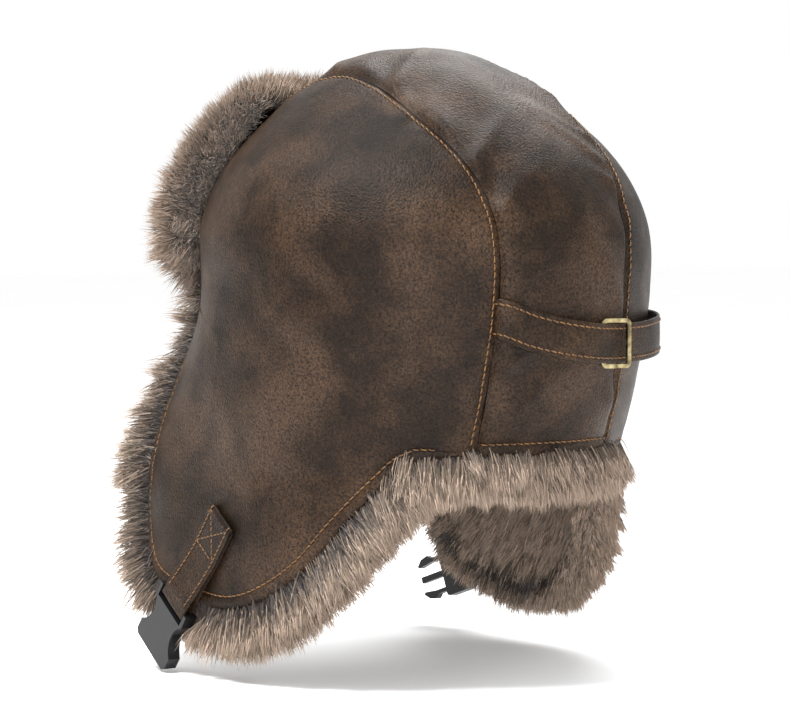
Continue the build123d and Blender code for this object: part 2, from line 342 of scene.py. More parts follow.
@dataclass(frozen=True)
class ModacrylicFur:
    """Long modacrylic fur: each hair is dark at its root, taupe along its length and beige at its tip."""

    name: str = "modacrylic_fur"
    roots: tuple[str, ...] = ("#2e2520",)
    shafts: tuple[str, ...] = ("#54463b", "#655649", "#706255")
    tips: tuple[str, ...] = ("#93806f", "#a28d7e", "#857565")

    def build(self) -> list[bpy.types.Material]:
        """Build one material for each tint of root, shaft and tip, in that order.

        Returns:
            The material.
        """
        tints = [("root", code) for code in self.roots]
        tints += [("shaft", code) for code in self.shafts]
        tints += [("tip", code) for code in self.tips]
        # A hair keeps one tint along each third, so its colour sits on the socket itself.
        look = {"Roughness": 0.62, "Specular IOR Level": 0.3, "Sheen Weight": 0.2}
        made = []
        for i, (part, code) in enumerate(tints):
            made.append(new_material(f"{self.name}_{part}_{i}", {"Base Color": to_linear(code), **look})[0])
        return made


@dataclass
class Wardrobe:
    """Every finish of the hat, built once."""

    leather: bpy.types.Material = field(default_factory=lambda: DistressedLeather().build())
    thread: bpy.types.Material = field(default_factory=lambda: PolyesterThread().build())
    backing: bpy.types.Material = field(default_factory=lambda: KnittedBacking().build())
    lining: bpy.types.Material = field(default_factory=lambda: QuiltedSatin().build())
    plastic: bpy.types.Material = field(default_factory=lambda: MouldedAcetal().build())
    brass: bpy.types.Material = field(default_factory=lambda: AntiqueBrass().build())
    fur: list[bpy.types.Material] = field(default_factory=lambda: ModacrylicFur().build())


# ---------------------------------------------------------------- mesh helpers
def unit(v: np.ndarray) -> np.ndarray:
    """Give rows their direction with a length of one."""
    return v / np.maximum(np.linalg.norm(v, axis=-1, keepdims=True), 1e-12)


def make_mesh(
    name: str,
    points: np.ndarray,
    faces: Sequence,
    materials: Sequence[bpy.types.Material],
) -> bpy.types.Object:
    """Make a smooth mesh object.

    Args:
        name: the object's name.
        points: vertex positions in metres.
        faces: vertex numbers of each face.
        materials: the materials for its slots.

    Returns:
        The new object, linked to the scene.
    """
    mesh = bpy.data.meshes.new(name)
    mesh.from_pydata([tuple(p) for p in points], [], [tuple(f) for f in faces])
    mesh.polygons.foreach_set("use_smooth", [True] * len(mesh.polygons))
    for material in materials:
        mesh.materials.append(material)
    mesh.update()
    piece = bpy.data.objects.new(name, mesh)
    bpy.context.scene.collection.objects.link(piece)
    return piece


def grid_faces(rows: int, columns: int, wrap: bool = False, flip: bool = False) -> list[tuple[int, ...]]:
    """Number the quads of a grid of points laid out row by row.

    Args:
        rows: how many rows.
        columns: how many points in each row.
        wrap: join the last column to the first.
        flip: turn the faces over.

    Returns:
        Four vertex numbers for each face.
    """
    faces = []
    last = columns if wrap else columns - 1
    for r in range(rows - 1):
        for c in range(last):
            d = (c + 1) % columns
            quad = (r * columns + c, r * columns + d, (r + 1) * columns + d, (r + 1) * columns + c)
            faces.append(quad[::-1] if flip else quad)
    return faces


def smooth_curve(points: np.ndarray, count: int) -> np.ndarray:
    """Follow points with a smooth curve.

    Args:
        points: the points to pass through, one in each row.
        count: how many points to give back, evenly along the curve.

    Returns:
        Points along the curve.
    """
    points = np.asarray(points, float)
    chord = np.concatenate([[0], np.cumsum(np.linalg.norm(np.diff(points, axis=0), axis=1))])
    fine = np.linspace(0, chord[-1], 40 * len(points))
    curve = np.stack([hermite(fine, chord, points[:, k]) for k in range(points.shape[1])], axis=1)
    run = np.concatenate([[0], np.cumsum(np.linalg.norm(np.diff(curve, axis=0), axis=1))])
    even = np.linspace(0, run[-1], count)
    return np.stack([np.interp(even, run, curve[:, k]) for k in range(points.shape[1])], axis=1)


def hermite(x: np.ndarray, xs: np.ndarray, ys: np.ndarray) -> np.ndarray:
    """Interpolate smoothly through known values.

    Args:
        x: where to read.
        xs: where the values are known, rising.
        ys: the known values.

    Returns:
        The value at each x.
    """
    slope = np.gradient(ys, xs)
    x = np.clip(x, xs[0], xs[-1])
    i = np.clip(np.searchsorted(xs, x, side="right") - 1, 0, len(xs) - 2)
    h = xs[i + 1] - xs[i]
    t = (x - xs[i]) / h
    return (
        (2 * t**3 - 3 * t**2 + 1) * ys[i]
        + (t**3 - 2 * t**2 + t) * h * slope[i]
        + (-2 * t**3 + 3 * t**2) * ys[i + 1]
        + (t**3 - t**2) * h * slope[i + 1]
    )


def field_noise(points: np.ndarray, size_mm: float, seed: float = 0.0) -> np.ndarray:
    """Read smooth noise between about -1 and 1 at points, with features of a given size.

    Args:
        points: where to read.
        size_mm: how wide a bump of the noise is.
        seed: shifts the noise, so that two readings differ.

    Returns:
        The noise at each point.
    """
    scale = 1000.0 / size_mm
    shift = Vector((seed, seed * 1.7, seed * 2.3))
    return np.array([noise.noise(Vector(p) * scale + shift) for p in points])


def ridge(d: np.ndarray, at: float, width: float) -> np.ndarray:
    """Give a smooth ridge, one unit high, across a seam or a hem.

    Args:
        d: distances from the edge, in millimetres.
        at: where the ridge is highest.
        width: how wide it is.

    Returns:
        The ridge's height at each distance.
    """
    return np.exp(-(((d - at) / width) ** 2))


def rolled_hem(d: np.ndarray, height: float) -> np.ndarray:
    """Give the profile of a turned hem: a roll, a dent along its stitches and a soft edge."""
    return height * ridge(d, 3.0, 1.9) - 0.65 * ridge(d, 6.0, 1.0) - 0.7 * ridge(d, 0.0, 0.7)


# ---------------------------------------------------------------- the crown's form
@dataclass
class CrownForm:
    """The stuffed crown: ellipses at set heights, joined smoothly. Sizes are in metres."""

    heights: tuple[float, ...] = (0.0, 0.040, 0.080, 0.113, 0.131, 0.145, 0.160, 0.174, 0.184, 0.191, 0.1925)
    half_widths: tuple[float, ...] = (
        0.098, 0.102, 0.104, 0.103, 0.096, 0.086, 0.071, 0.054, 0.037, 0.017, 0.0005,
    )
    half_depths: tuple[float, ...] = (
        0.116, 0.110, 0.104, 0.103, 0.096, 0.086, 0.071, 0.054, 0.037, 0.017, 0.0005,
    )
    centres: tuple[float, ...] = (
        -0.028, -0.012, 0.0, 0.0, -0.001, -0.002, -0.004, -0.005, -0.006, -0.006, -0.006,
    )
    seam_heights: tuple[float, ...] = (-0.02, 0.040, 0.095, 0.131, 0.146, 0.166, 0.210)
    seam_widths: tuple[float, ...] = (0.0375, 0.037, 0.0365, 0.0395, 0.0425, 0.0465, 0.039)
    heart: tuple[float, float, float] = (0.0, -0.006, 0.058)
    top: float = 0.1925

    def __post_init__(self) -> None:
        """Work out fine tables of the sections; squares of sizes keep the very top round."""
        self.fine = np.linspace(0, self.top, 3000)
        heights = np.array(self.heights)
        self.wide = np.sqrt(np.maximum(hermite(self.fine, heights, np.array(self.half_widths) ** 2), 1e-8))
        self.deep = np.sqrt(np.maximum(hermite(self.fine, heights, np.array(self.half_depths) ** 2), 1e-8))
        self.middle = hermite(self.fine, heights, np.array(self.centres))
        self.seam_fine = np.linspace(-0.1, 0.21, 1000)
        self.seam_table = hermite(self.seam_fine, np.array(self.seam_heights), np.array(self.seam_widths))

    def level(self, p: np.ndarray, inset: float = 0.0) -> np.ndarray:
        """Tell how far points lie in or out of the form: zero is on it and above zero is outside.

        Args:
            p: the points.
            inset: how far inside the outer surface zero lies.

        Returns:
            The level of each point.
        """
        z = np.maximum(p[:, 2] + inset * np.clip((p[:, 2] - 0.1) / 0.09, 0, 1), 0.0)
        a = np.maximum(np.interp(z, self.fine, self.wide) - inset, 0.0001)
        b = np.maximum(np.interp(z, self.fine, self.deep) - inset, 0.0001)
        y = p[:, 1] - np.interp(z, self.fine, self.middle)
        out = np.sqrt((p[:, 0] / a) ** 2 + (y / b) ** 2) - 1
        return np.where(z >= self.top, 1.0 + p[:, 2], out)

    def seam(self, z: np.ndarray) -> np.ndarray:
        """Give the seams' distance from the middle at heights."""
        return np.interp(z, self.seam_fine, self.seam_table)

    def cast(self, start: np.ndarray, way: np.ndarray, inset: float = 0.0) -> np.ndarray:
        """Follow rays from inside the form to its surface.

        Args:
            start: where each ray starts.
            way: each ray's direction.
            inset: how far inside the outer surface to stop.

        Returns:
            The points where the rays meet the surface.
        """
        low = np.zeros(len(way))
        high = np.full(len(way), 0.26)
        for _ in range(22):
            mid = (low + high) / 2
            outside = self.level(start + way * mid[:, None], inset) > 0
            high = np.where(outside, mid, high)
            low = np.where(outside, low, mid)
        return start + way * ((low + high) / 2)[:, None]

    def normal(self, p: np.ndarray) -> np.ndarray:
        """Give the outward direction at points on the surface.

        Args:
            p: the points.

        Returns:
            The directions.
        """
        step = 0.0008
        grad = []
        for axis in range(3):
            shift = np.zeros(3)
            shift[axis] = step
            grad.append(self.level(p + shift) - self.level(p - shift))
        return unit(np.stack(grad, axis=1))


# ---------------------------------------------------------------- stitches
@dataclass
class Stitching:
    """A run of lockstitches that stand a little proud of the leather."""

    pitch: float = 0.0034
    length: float = 0.0030
    radius: float = 0.00034
    lean: float = 0.12
    sides: int = 6
    # Each ring of a stitch: its place along the stitch, its lift and its girth.
    profile: tuple[tuple[float, float, float], ...] = (
        (-0.5, -0.9, 0.45),
        (-0.36, 0.35, 0.95),
        (0.0, 0.75, 1.0),
        (0.36, 0.35, 0.95),
        (0.5, -0.9, 0.45),
    )

    def run(self, path: np.ndarray, out: np.ndarray) -> tuple[np.ndarray, list[tuple[int, ...]]]:
        """Lay stitches along a line.

        Args:
            path: points along the seam, in order.
            out: the outward direction at each point.

        Returns:
            The vertices and faces of the stitches.
        """
        gone = np.concatenate([[0], np.cumsum(np.linalg.norm(np.diff(path, axis=0), axis=1))])
        points: list[np.ndarray] = []
        faces: list[tuple[int, ...]] = []
        sides, rings = self.sides, len(self.profile)
        for i in range(int(gone[-1] / self.pitch)):
            middle = (i + 0.5) * self.pitch
            base = len(points)
            along = self.read(path, gone, middle + 0.001) - self.read(path, gone, middle - 0.001)
            along = along / max(np.linalg.norm(along), 1e-9)
            away = self.read(out, gone, middle)
            across = np.cross(along, away)
            across = across / max(np.linalg.norm(across), 1e-9)
            # Each stitch leans a little across the line, as a lockstitch does.
            along = unit((along + across * self.lean)[None])[0]
            heart = self.read(path, gone, middle)
            for place, lift, girth in self.profile:
                centre = heart + along * place * self.length + away * lift * self.radius
                for k in range(sides):
                    turn = math.tau * k / sides
                    spoke = across * math.cos(turn) + away * math.sin(turn)
                    points.append(centre + spoke * girth * self.radius)
            faces += [tuple(base + v for v in quad) for quad in grid_faces(rings, sides, wrap=True)]
            faces.append(tuple(base + k for k in range(sides))[::-1])
            faces.append(tuple(base + (rings - 1) * sides + k for k in range(sides)))
        return np.array(points).reshape(-1, 3), faces

    @staticmethod
    def read(values: np.ndarray, gone: np.ndarray, where: float) -> np.ndarray:
        """Read a row of values at a distance along the line."""
        return np.array([np.interp(where, gone, values[:, k]) for k in range(3)])

    def sew(
        self,
        name: str,
        lines: Sequence[tuple[np.ndarray, np.ndarray]],
        thread: bpy.types.Material,
    ) -> bpy.types.Object:
        """Sew several lines as one piece.

        Args:
            name: the piece's name.
            lines: each line's points and outward directions.
            thread: the thread's material.

        Returns:
            The stitches as one object.
        """
        points: list[np.ndarray] = []
        faces: list[tuple[int, ...]] = []
        total = 0
        for path, out in lines:
            p, f = self.run(path, out)
            if not len(p):
                continue
            faces += [tuple(v + total for v in face) for face in f]
            points.append(p)
            total += len(p)
        return make_mesh(name, np.concatenate(points), faces, [thread])


# ---------------------------------------------------------------- fur
@dataclass
class Pile:
    """Combed fur made of mesh hairs, in clumps that share a direction."""

    wardrobe: Wardrobe
    width: float = 0.00058
    clump: float = 0.0052
    gather: float = 0.46
    seed: int = 7

    def grow(
        self,
        name: str,
        roots: np.ndarray,
        ways: np.ndarray,
        lengths: np.ndarray,
        droop: np.ndarray,
        press: Callable[[np.ndarray], np.ndarray] | None = None,
    ) -> bpy.types.Object:
        """Grow one hair from each root.

        Args:
            name: the piece's name.
            roots: where each hair starts.
            ways: the direction each hair leaves in.
            lengths: each hair's length.
            droop: the direction each hair bends towards, its size being how much.
            press: moves points of hairs that something lies on, if anything does.

        Returns:
            The fur as one mesh.
        """
        rng = np.random.default_rng(self.seed)
        n = len(roots)
        cell = np.floor((roots + rng.normal(0, 0.0011, (n, 3))) / self.clump).astype(np.int64)
        _, which = np.unique(cell, axis=0, return_inverse=True)
        which = which.reshape(-1)
        clumps = which.max() + 1
        counts = np.bincount(which, minlength=clumps)[:, None]
        centre = np.stack([np.bincount(which, roots[:, k], clumps) for k in range(3)], 1) / counts
        lean = rng.normal(0, 0.16, (clumps, 3))
        reach = rng.uniform(0.86, 1.08, clumps)
        ways = unit(ways + lean[which] + rng.normal(0, 0.10, (n, 3)))
        lengths = lengths * reach[which] * rng.uniform(0.72, 1.06, n)
        stations = np.array([0.0, 0.36, 0.70, 1.0])
        line = []
        curl = rng.normal(0, 0.05, (n, 3))
        for t in stations:
            offset = ways * t + droop * t * t + curl * math.sin(t * 2.6)
            line.append(roots + offset * lengths[:, None])
        tip_way = unit(np.stack([np.bincount(which, (line[3] - roots)[:, k], clumps) for k in range(3)], 1))
        gather_at = centre[which] + tip_way[which] * lengths[:, None]
        for i, t in enumerate(stations):
            pull = self.gather * t**1.5
            target = roots + (gather_at - roots) * t
            line[i] = line[i] * (1 - pull) + target * pull
            if press and t > 0:
                line[i] = press(line[i])
        side = unit(np.cross(line[3] - line[0], rng.normal(0, 1, (n, 3))))
        thick = self.width * rng.uniform(0.7, 1.2, n)[:, None]
        rows = []
        for i, share in enumerate((0.9, 1.0, 0.72)):
            rows.append(line[i] - side * thick * share / 2)
            rows.append(line[i] + side * thick * share / 2)
        rows.append(line[3])
        points = np.stack(rows, axis=1).reshape(-1, 3)
        return self.lay(name, points, n, rng)

    def lay(self, name: str, points: np.ndarray, n: int, rng: np.random.Generator) -> bpy.types.Object:
        """Make the mesh of n hairs of seven points each, and tint it.

        Args:
            name: the piece's name.
            points: seven points for each hair, root to tip.
            n: how many hairs.
            rng: the seeded source of the tints.

        Returns:
            The fur as one mesh.
        """
        base = (np.arange(n) * 7)[:, None]
        quads = np.concatenate([base + np.array([[0, 1, 3, 2]]), base + np.array([[2, 3, 5, 4]])], axis=1)
        tips = base + np.array([[4, 5, 6]])
        loops = np.concatenate([quads, tips], axis=1).reshape(-1)
        starts = (np.arange(n)[:, None] * 11 + np.array([[0, 4, 8]])).reshape(-1)
        mesh = bpy.data.meshes.new(name)
        mesh.vertices.add(len(points))
        mesh.vertices.foreach_set("co", points.reshape(-1))
        mesh.loops.add(len(loops))
        mesh.loops.foreach_set("vertex_index", loops.astype(np.int32))
        mesh.polygons.add(3 * n)
        mesh.polygons.foreach_set("loop_start", starts.astype(np.int32))
        shade = rng.choice(3, n, p=(0.35, 0.35, 0.30))
        tint = np.stack([np.zeros(n, int), 1 + shade, 4 + rng.choice(3, n)], axis=1)
        mesh.polygons.foreach_set("material_index", tint.reshape(-1).astype(np.int32))
        mesh.polygons.foreach_set("use_smooth", np.ones(3 * n, bool))
        for material in self.wardrobe.fur:
            mesh.materials.append(material)
        mesh.update(calc_edges=True)
        piece = bpy.data.objects.new(name, mesh)
        bpy.context.scene.collection.objects.link(piece)
        return piece


def share_out(
    points: np.ndarray,
    faces: np.ndarray,
    count: int,
    rng: np.random.Generator,
) -> tuple[np.ndarray, np.ndarray]:
    """Scatter points evenly over triangles.

    Args:
        points: the vertices.
        faces: three vertex numbers for each triangle.
        count: how many points to scatter.
        rng: the seeded source.

    Returns:
        The triangle each point is on, and its three weights.
    """
    a, b, c = (points[faces[:, k]] for k in range(3))
    area = np.linalg.norm(np.cross(b - a, c - a), axis=1)
    chosen = rng.choice(len(faces), count, p=area / area.sum())
    r = np.sqrt(rng.random(count))
    s = rng.random(count)
    return chosen, np.stack([1 - r, r * (1 - s), r * s], axis=1)


# ---------------------------------------------------------------- leather panels
class Side(Enum):
    """The wearer's two sides."""

    LEFT = 1
    RIGHT = -1

    @property
    def word(self) -> str:
        """Give the side's name as it stands in the parts' names."""
        return self.name.lower()


def bend_at_fold(piece: bpy.types.Object, side: Side) -> None:
    """Bake a piece's placement into its points; it is not bent."""
    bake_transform(piece)


@dataclass
class SidePanel:
    """One side of the crown and its ear flap, cut as one piece of leather, with a rolled and stitched hem."""

    side: Side
    form: CrownForm
    wardrobe: Wardrobe
    outline: tuple[tuple[float, float], ...] = (
        (-0.0800, 0.080),
        (-0.0845, 0.030),
        (-0.0870, 0.000),
        (-0.0910, -0.028),
        (-0.0800, -0.050),
        (-0.0520, -0.0600),
        (-0.0150, -0.0620),
        (0.0200, -0.0450),
        (0.0400, -0.0225),
        (0.0520, -0.0080),
        (0.0625, 0.0035),
        (0.0740, 0.0085),
        (0.0950, 0.0092),
    )
    near_edge: tuple[float, ...] = (
        0.0, 0.0006, 0.0014, 0.0022, 0.0030, 0.0040, 0.0050,
        0.0056, 0.0060, 0.0066, 0.0076, 0.0090, 0.011, 0.0135,
    )
    detailed: float = 0.016
    hem_line: float = 0.0060
    seam_line: float = 0.0032
    around: int = 560

    def __post_init__(self) -> None:
        """Work out the panel's edge once, all the way round."""
        edge = smooth_curve(np.array(self.outline), 260)
        self.polygon = np.concatenate([edge, [[0.3, 0.0092], [0.3, 0.3], [-0.3, 0.3], [-0.3, 0.080]]])
        turns = np.linspace(0, math.tau, 2160, endpoint=False)
        reach = self.reach(turns)
        points = self.at(turns, reach)
        gone = np.concatenate([[0], np.cumsum(np.linalg.norm(np.diff(points, axis=0), axis=1))])
        even = np.linspace(0, gone[-1], self.around, endpoint=False)
        self.turns = np.interp(even, gone, turns)
        self.limit = self.reach(self.turns)
        self.edge = self.at(self.turns, self.limit)
        self.arc = even
        on_seam = np.abs(np.abs(self.edge[:, 0]) - self.form.seam(self.edge[:, 2])) < 0.0012
        kernel = np.ones(5) / 5
        self.seam_share = np.convolve(np.pad(on_seam.astype(float), 2, mode="wrap"), kernel, mode="valid")
        self.meridians = self.walk()

    def way(self, turn: np.ndarray, spread: np.ndarray) -> np.ndarray:
        """Give directions from the heart of the form, by turn round the side and spread away from it."""
        x = self.side.value * np.cos(spread)
        return np.stack([x, -np.sin(spread) * np.cos(turn), np.sin(spread) * np.sin(turn)], axis=-1)

    def at(self, turn: np.ndarray, spread: np.ndarray) -> np.ndarray:
        """Give the points of the form in those directions.

        Args:
            turn: angles round the panel's middle.
            spread: angles away from the panel's middle.

        Returns:
            The points on the form.
        """
        way = self.way(turn, spread)
        start = np.tile(np.array(self.form.heart), (len(way), 1))
        return self.form.cast(start, way)

    def inside(self, p: np.ndarray) -> np.ndarray:
        """Tell which points of the form belong to this panel.

        Args:
            p: points on the form.

        Returns:
            True for each point between the seam and the outline.
        """
        seam = (p[:, 0] * self.side.value) > self.form.seam(p[:, 2])
        y, z = p[:, 1], p[:, 2]
        crossings = np.zeros(len(p), bool)
        poly = self.polygon
        for i in range(len(poly)):
            (y0, z0), (y1, z1) = poly[i], poly[(i + 1) % len(poly)]
            spans = (z0 > z) != (z1 > z)
            with np.errstate(divide="ignore", invalid="ignore"):
                cut = (y1 - y0) * (z - z0) / (z1 - z0) + y0
            crossings ^= spans & (y < cut)
        return seam & crossings

    def reach(self, turns: np.ndarray) -> np.ndarray:
        """Find how far the panel spreads at each turn.

        Args:
            turns: angles round the side.

        Returns:
            The largest spread that is still on the panel.
        """
        steps = np.linspace(0.05, 2.2, 60)
        last = np.full(len(turns), 0.05)
        live = np.ones(len(turns), bool)
        for step in steps:
            within = self.inside(self.at(turns, np.full(len(turns), step)))
            live &= within
            last = np.where(live, step, last)
        low, high = last, last + (steps[1] - steps[0])
        for _ in range(14):
            mid = (low + high) / 2
            within = self.inside(self.at(turns, mid))
            low = np.where(within, mid, low)
            high = np.where(within, high, mid)
        return low

    def walk(self) -> tuple[np.ndarray, np.ndarray]:
        """Measure each line from the middle of the panel to its edge.

        Returns:
            The shares of the spread that were read, and the distance to the edge at each.
        """
        shares = np.linspace(0, 1, 90)
        rows = np.stack([self.at(self.turns, self.limit * s) for s in shares])
        steps = np.linalg.norm(np.diff(rows, axis=0), axis=2)
        total = np.concatenate([np.zeros((1, self.around)), np.cumsum(steps, axis=0)])
        to_edge = total[-1] - total
        # Where a line meets the edge at a slant, the distance is measured square to the edge.
        along = unit(np.roll(self.edge, -2, axis=0) - np.roll(self.edge, 2, axis=0))
        run = unit(rows[-1] - rows[-4])
        square = np.sqrt(np.maximum(1 - np.sum(along * run, axis=1) ** 2, 0.2))
        return shares, to_edge * square

    def row(self, distance: float) -> np.ndarray:
        """Give the spread at which each line is that far from the edge.

        Args:
            distance: the distance from the edge.

        Returns:
            One spread for each line.
        """
        shares, to_edge = self.meridians
        found = [np.interp(distance, to_edge[::-1, i], shares[::-1]) for i in range(self.around)]
        return np.array(found) * self.limit

    def shaped(self, p: np.ndarray, distance: np.ndarray | float) -> tuple[np.ndarray, np.ndarray]:
        """Raise and sink points as sewn leather lies.

        Args:
            p: points on the plain form, one for each line round the panel.
            distance: how far each is from the edge.

        Returns:
            The shaped points and the plain form's outward directions.
        """
        out = self.form.normal(p)
        d = np.asarray(distance) * 1000 + np.zeros(len(p))
        seam = self.seam_share
        groove = -1.7 * ridge(d, 0.0, 2.0) - 0.25 * ridge(d, 3.2, 0.8)
        pucker = self.puckers * np.exp(-d / 11.0) * np.clip(d / 2.5, 0, 1)
        folds = field_noise(p, 46.0, 3.0) * 1.3 + field_noise(p, 19.0, 9.0) * 0.28
        calm = np.clip((d - 5) / 20, 0, 1)
        hem = rolled_hem(d, 0.55) + 0.35 * self.puckers * np.exp(-np.abs(d - 7) / 5)
        lift = seam * (groove + pucker) + (1 - seam) * hem + folds * calm
        return self.flare(p + out * (lift * MM)[:, None]), out

    def flare(self, p: np.ndarray) -> np.ndarray:
        """Lean the front edge of the flap outwards, as stiff leather with fur behind it hangs.

        Args:
            p: points of the panel.

        Returns:
            The points, moved.
        """
        front = np.clip((-0.030 - p[:, 1]) / 0.058, 0, 1)
        low = np.clip((0.072 - p[:, 2]) / 0.080, 0, 1)
        share = (front * front * (3 - 2 * front)) * (low * low * (3 - 2 * low))
        return p + np.stack([self.side.value * 0.0095 * share, -0.0025 * share, 0 * share], axis=1)

    @property
    def puckers(self) -> np.ndarray:
        """Give the small gathers along the edge that the stitches pull up."""
        return field_noise(np.stack([self.arc, self.arc * 0, self.arc * 0], 1), 9.0, 5.0) * 1.3

    def skin(self) -> bpy.types.Object:
        """Build the leather.

        Returns:
            The panel's leather, hem included.
        """
        rows = []
        inner = self.row(self.detailed)
        shares, to_edge = self.meridians
        for share in np.linspace(0.015, 1, 46):
            spread = inner * share
            ratios = spread / self.limit
            d = np.array([np.interp(ratios[i], shares, to_edge[:, i]) for i in range(self.around)])
            rows.append(self.shaped(self.at(self.turns, spread), d)[0])
        # Rows lie close together near the edge, where the roll, the groove and the puckers are.
        for distance in self.near_edge[::-1]:
            p = self.at(self.turns, self.row(distance))
            rows.append(self.shaped(p, distance)[0])
        # The hem turns under: two more rows behind the edge.
        out = self.form.normal(self.edge)
        for back, depth in ((0.0006, 0.0024), (0.0050, 0.0030)):
            p = self.at(self.turns, self.row(back))
            rows.append(self.flare(p - out * depth))
        points = np.concatenate(rows)
        faces = grid_faces(len(rows), self.around, wrap=True, flip=self.side is Side.RIGHT)
        middle = len(points)
        points = np.concatenate([points, rows[0].mean(axis=0)[None]])
        for c in range(self.around):
            tri = (middle, c, (c + 1) % self.around)
            faces.append(tri[::-1] if self.side is Side.LEFT else (tri[1], tri[2], tri[0]))
        return make_mesh(f"{self.side.word}_side_leather", points, faces, [self.wardrobe.leather])

    def stitch_lines(self) -> list[tuple[np.ndarray, np.ndarray]]:
        """Give the topstitching beside the seam and along the hem.

        Returns:
            Each line's points and outward directions.
        """
        lines = []
        places = ((self.seam_line, self.seam_share > 0.9), (self.hem_line, self.seam_share < 0.1))
        for distance, wanted in places:
            p, out = self.shaped(self.at(self.turns, self.row(distance)), distance)
            if distance == self.hem_line:
                wanted = wanted & (self.edge[:, 2] < 0.078)
            start = int(np.argmin(wanted))
            order = (np.arange(self.around) + start) % self.around
            for run in self.runs(order, wanted):
                lines.append((p[run] + out[run] * 0.0002, out[run]))
        return lines

    @staticmethod
    def runs(order: np.ndarray, wanted: np.ndarray) -> list[np.ndarray]:
        """Split an order of places into unbroken runs of wanted ones.

        Args:
            order: places in the order they are visited.
            wanted: which places to keep.

        Returns:
            The places of each run.
        """
        found: list[list[int]] = [[]]
        for i in order:
            if wanted[i]:
                found[-1].append(int(i))
            elif found[-1]:
                found.append([])
        return [np.array(r) for r in found if len(r) > 3]

    def build(self) -> None:
        """Build the leather and its stitches."""
        word = self.side.word
        skin = self.skin()
        stitches = Stitching().sew(f"{word}_side_stitches", self.stitch_lines(), self.wardrobe.thread)
        for piece in (skin, stitches):
            bend_at_fold(piece, self.side)
        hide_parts(f"{word}_side_panel", f"{word}_flap_shell", f"{word}_flap_padding")
        LOG.info("%s side leather: %d points", word, len(skin.data.vertices))


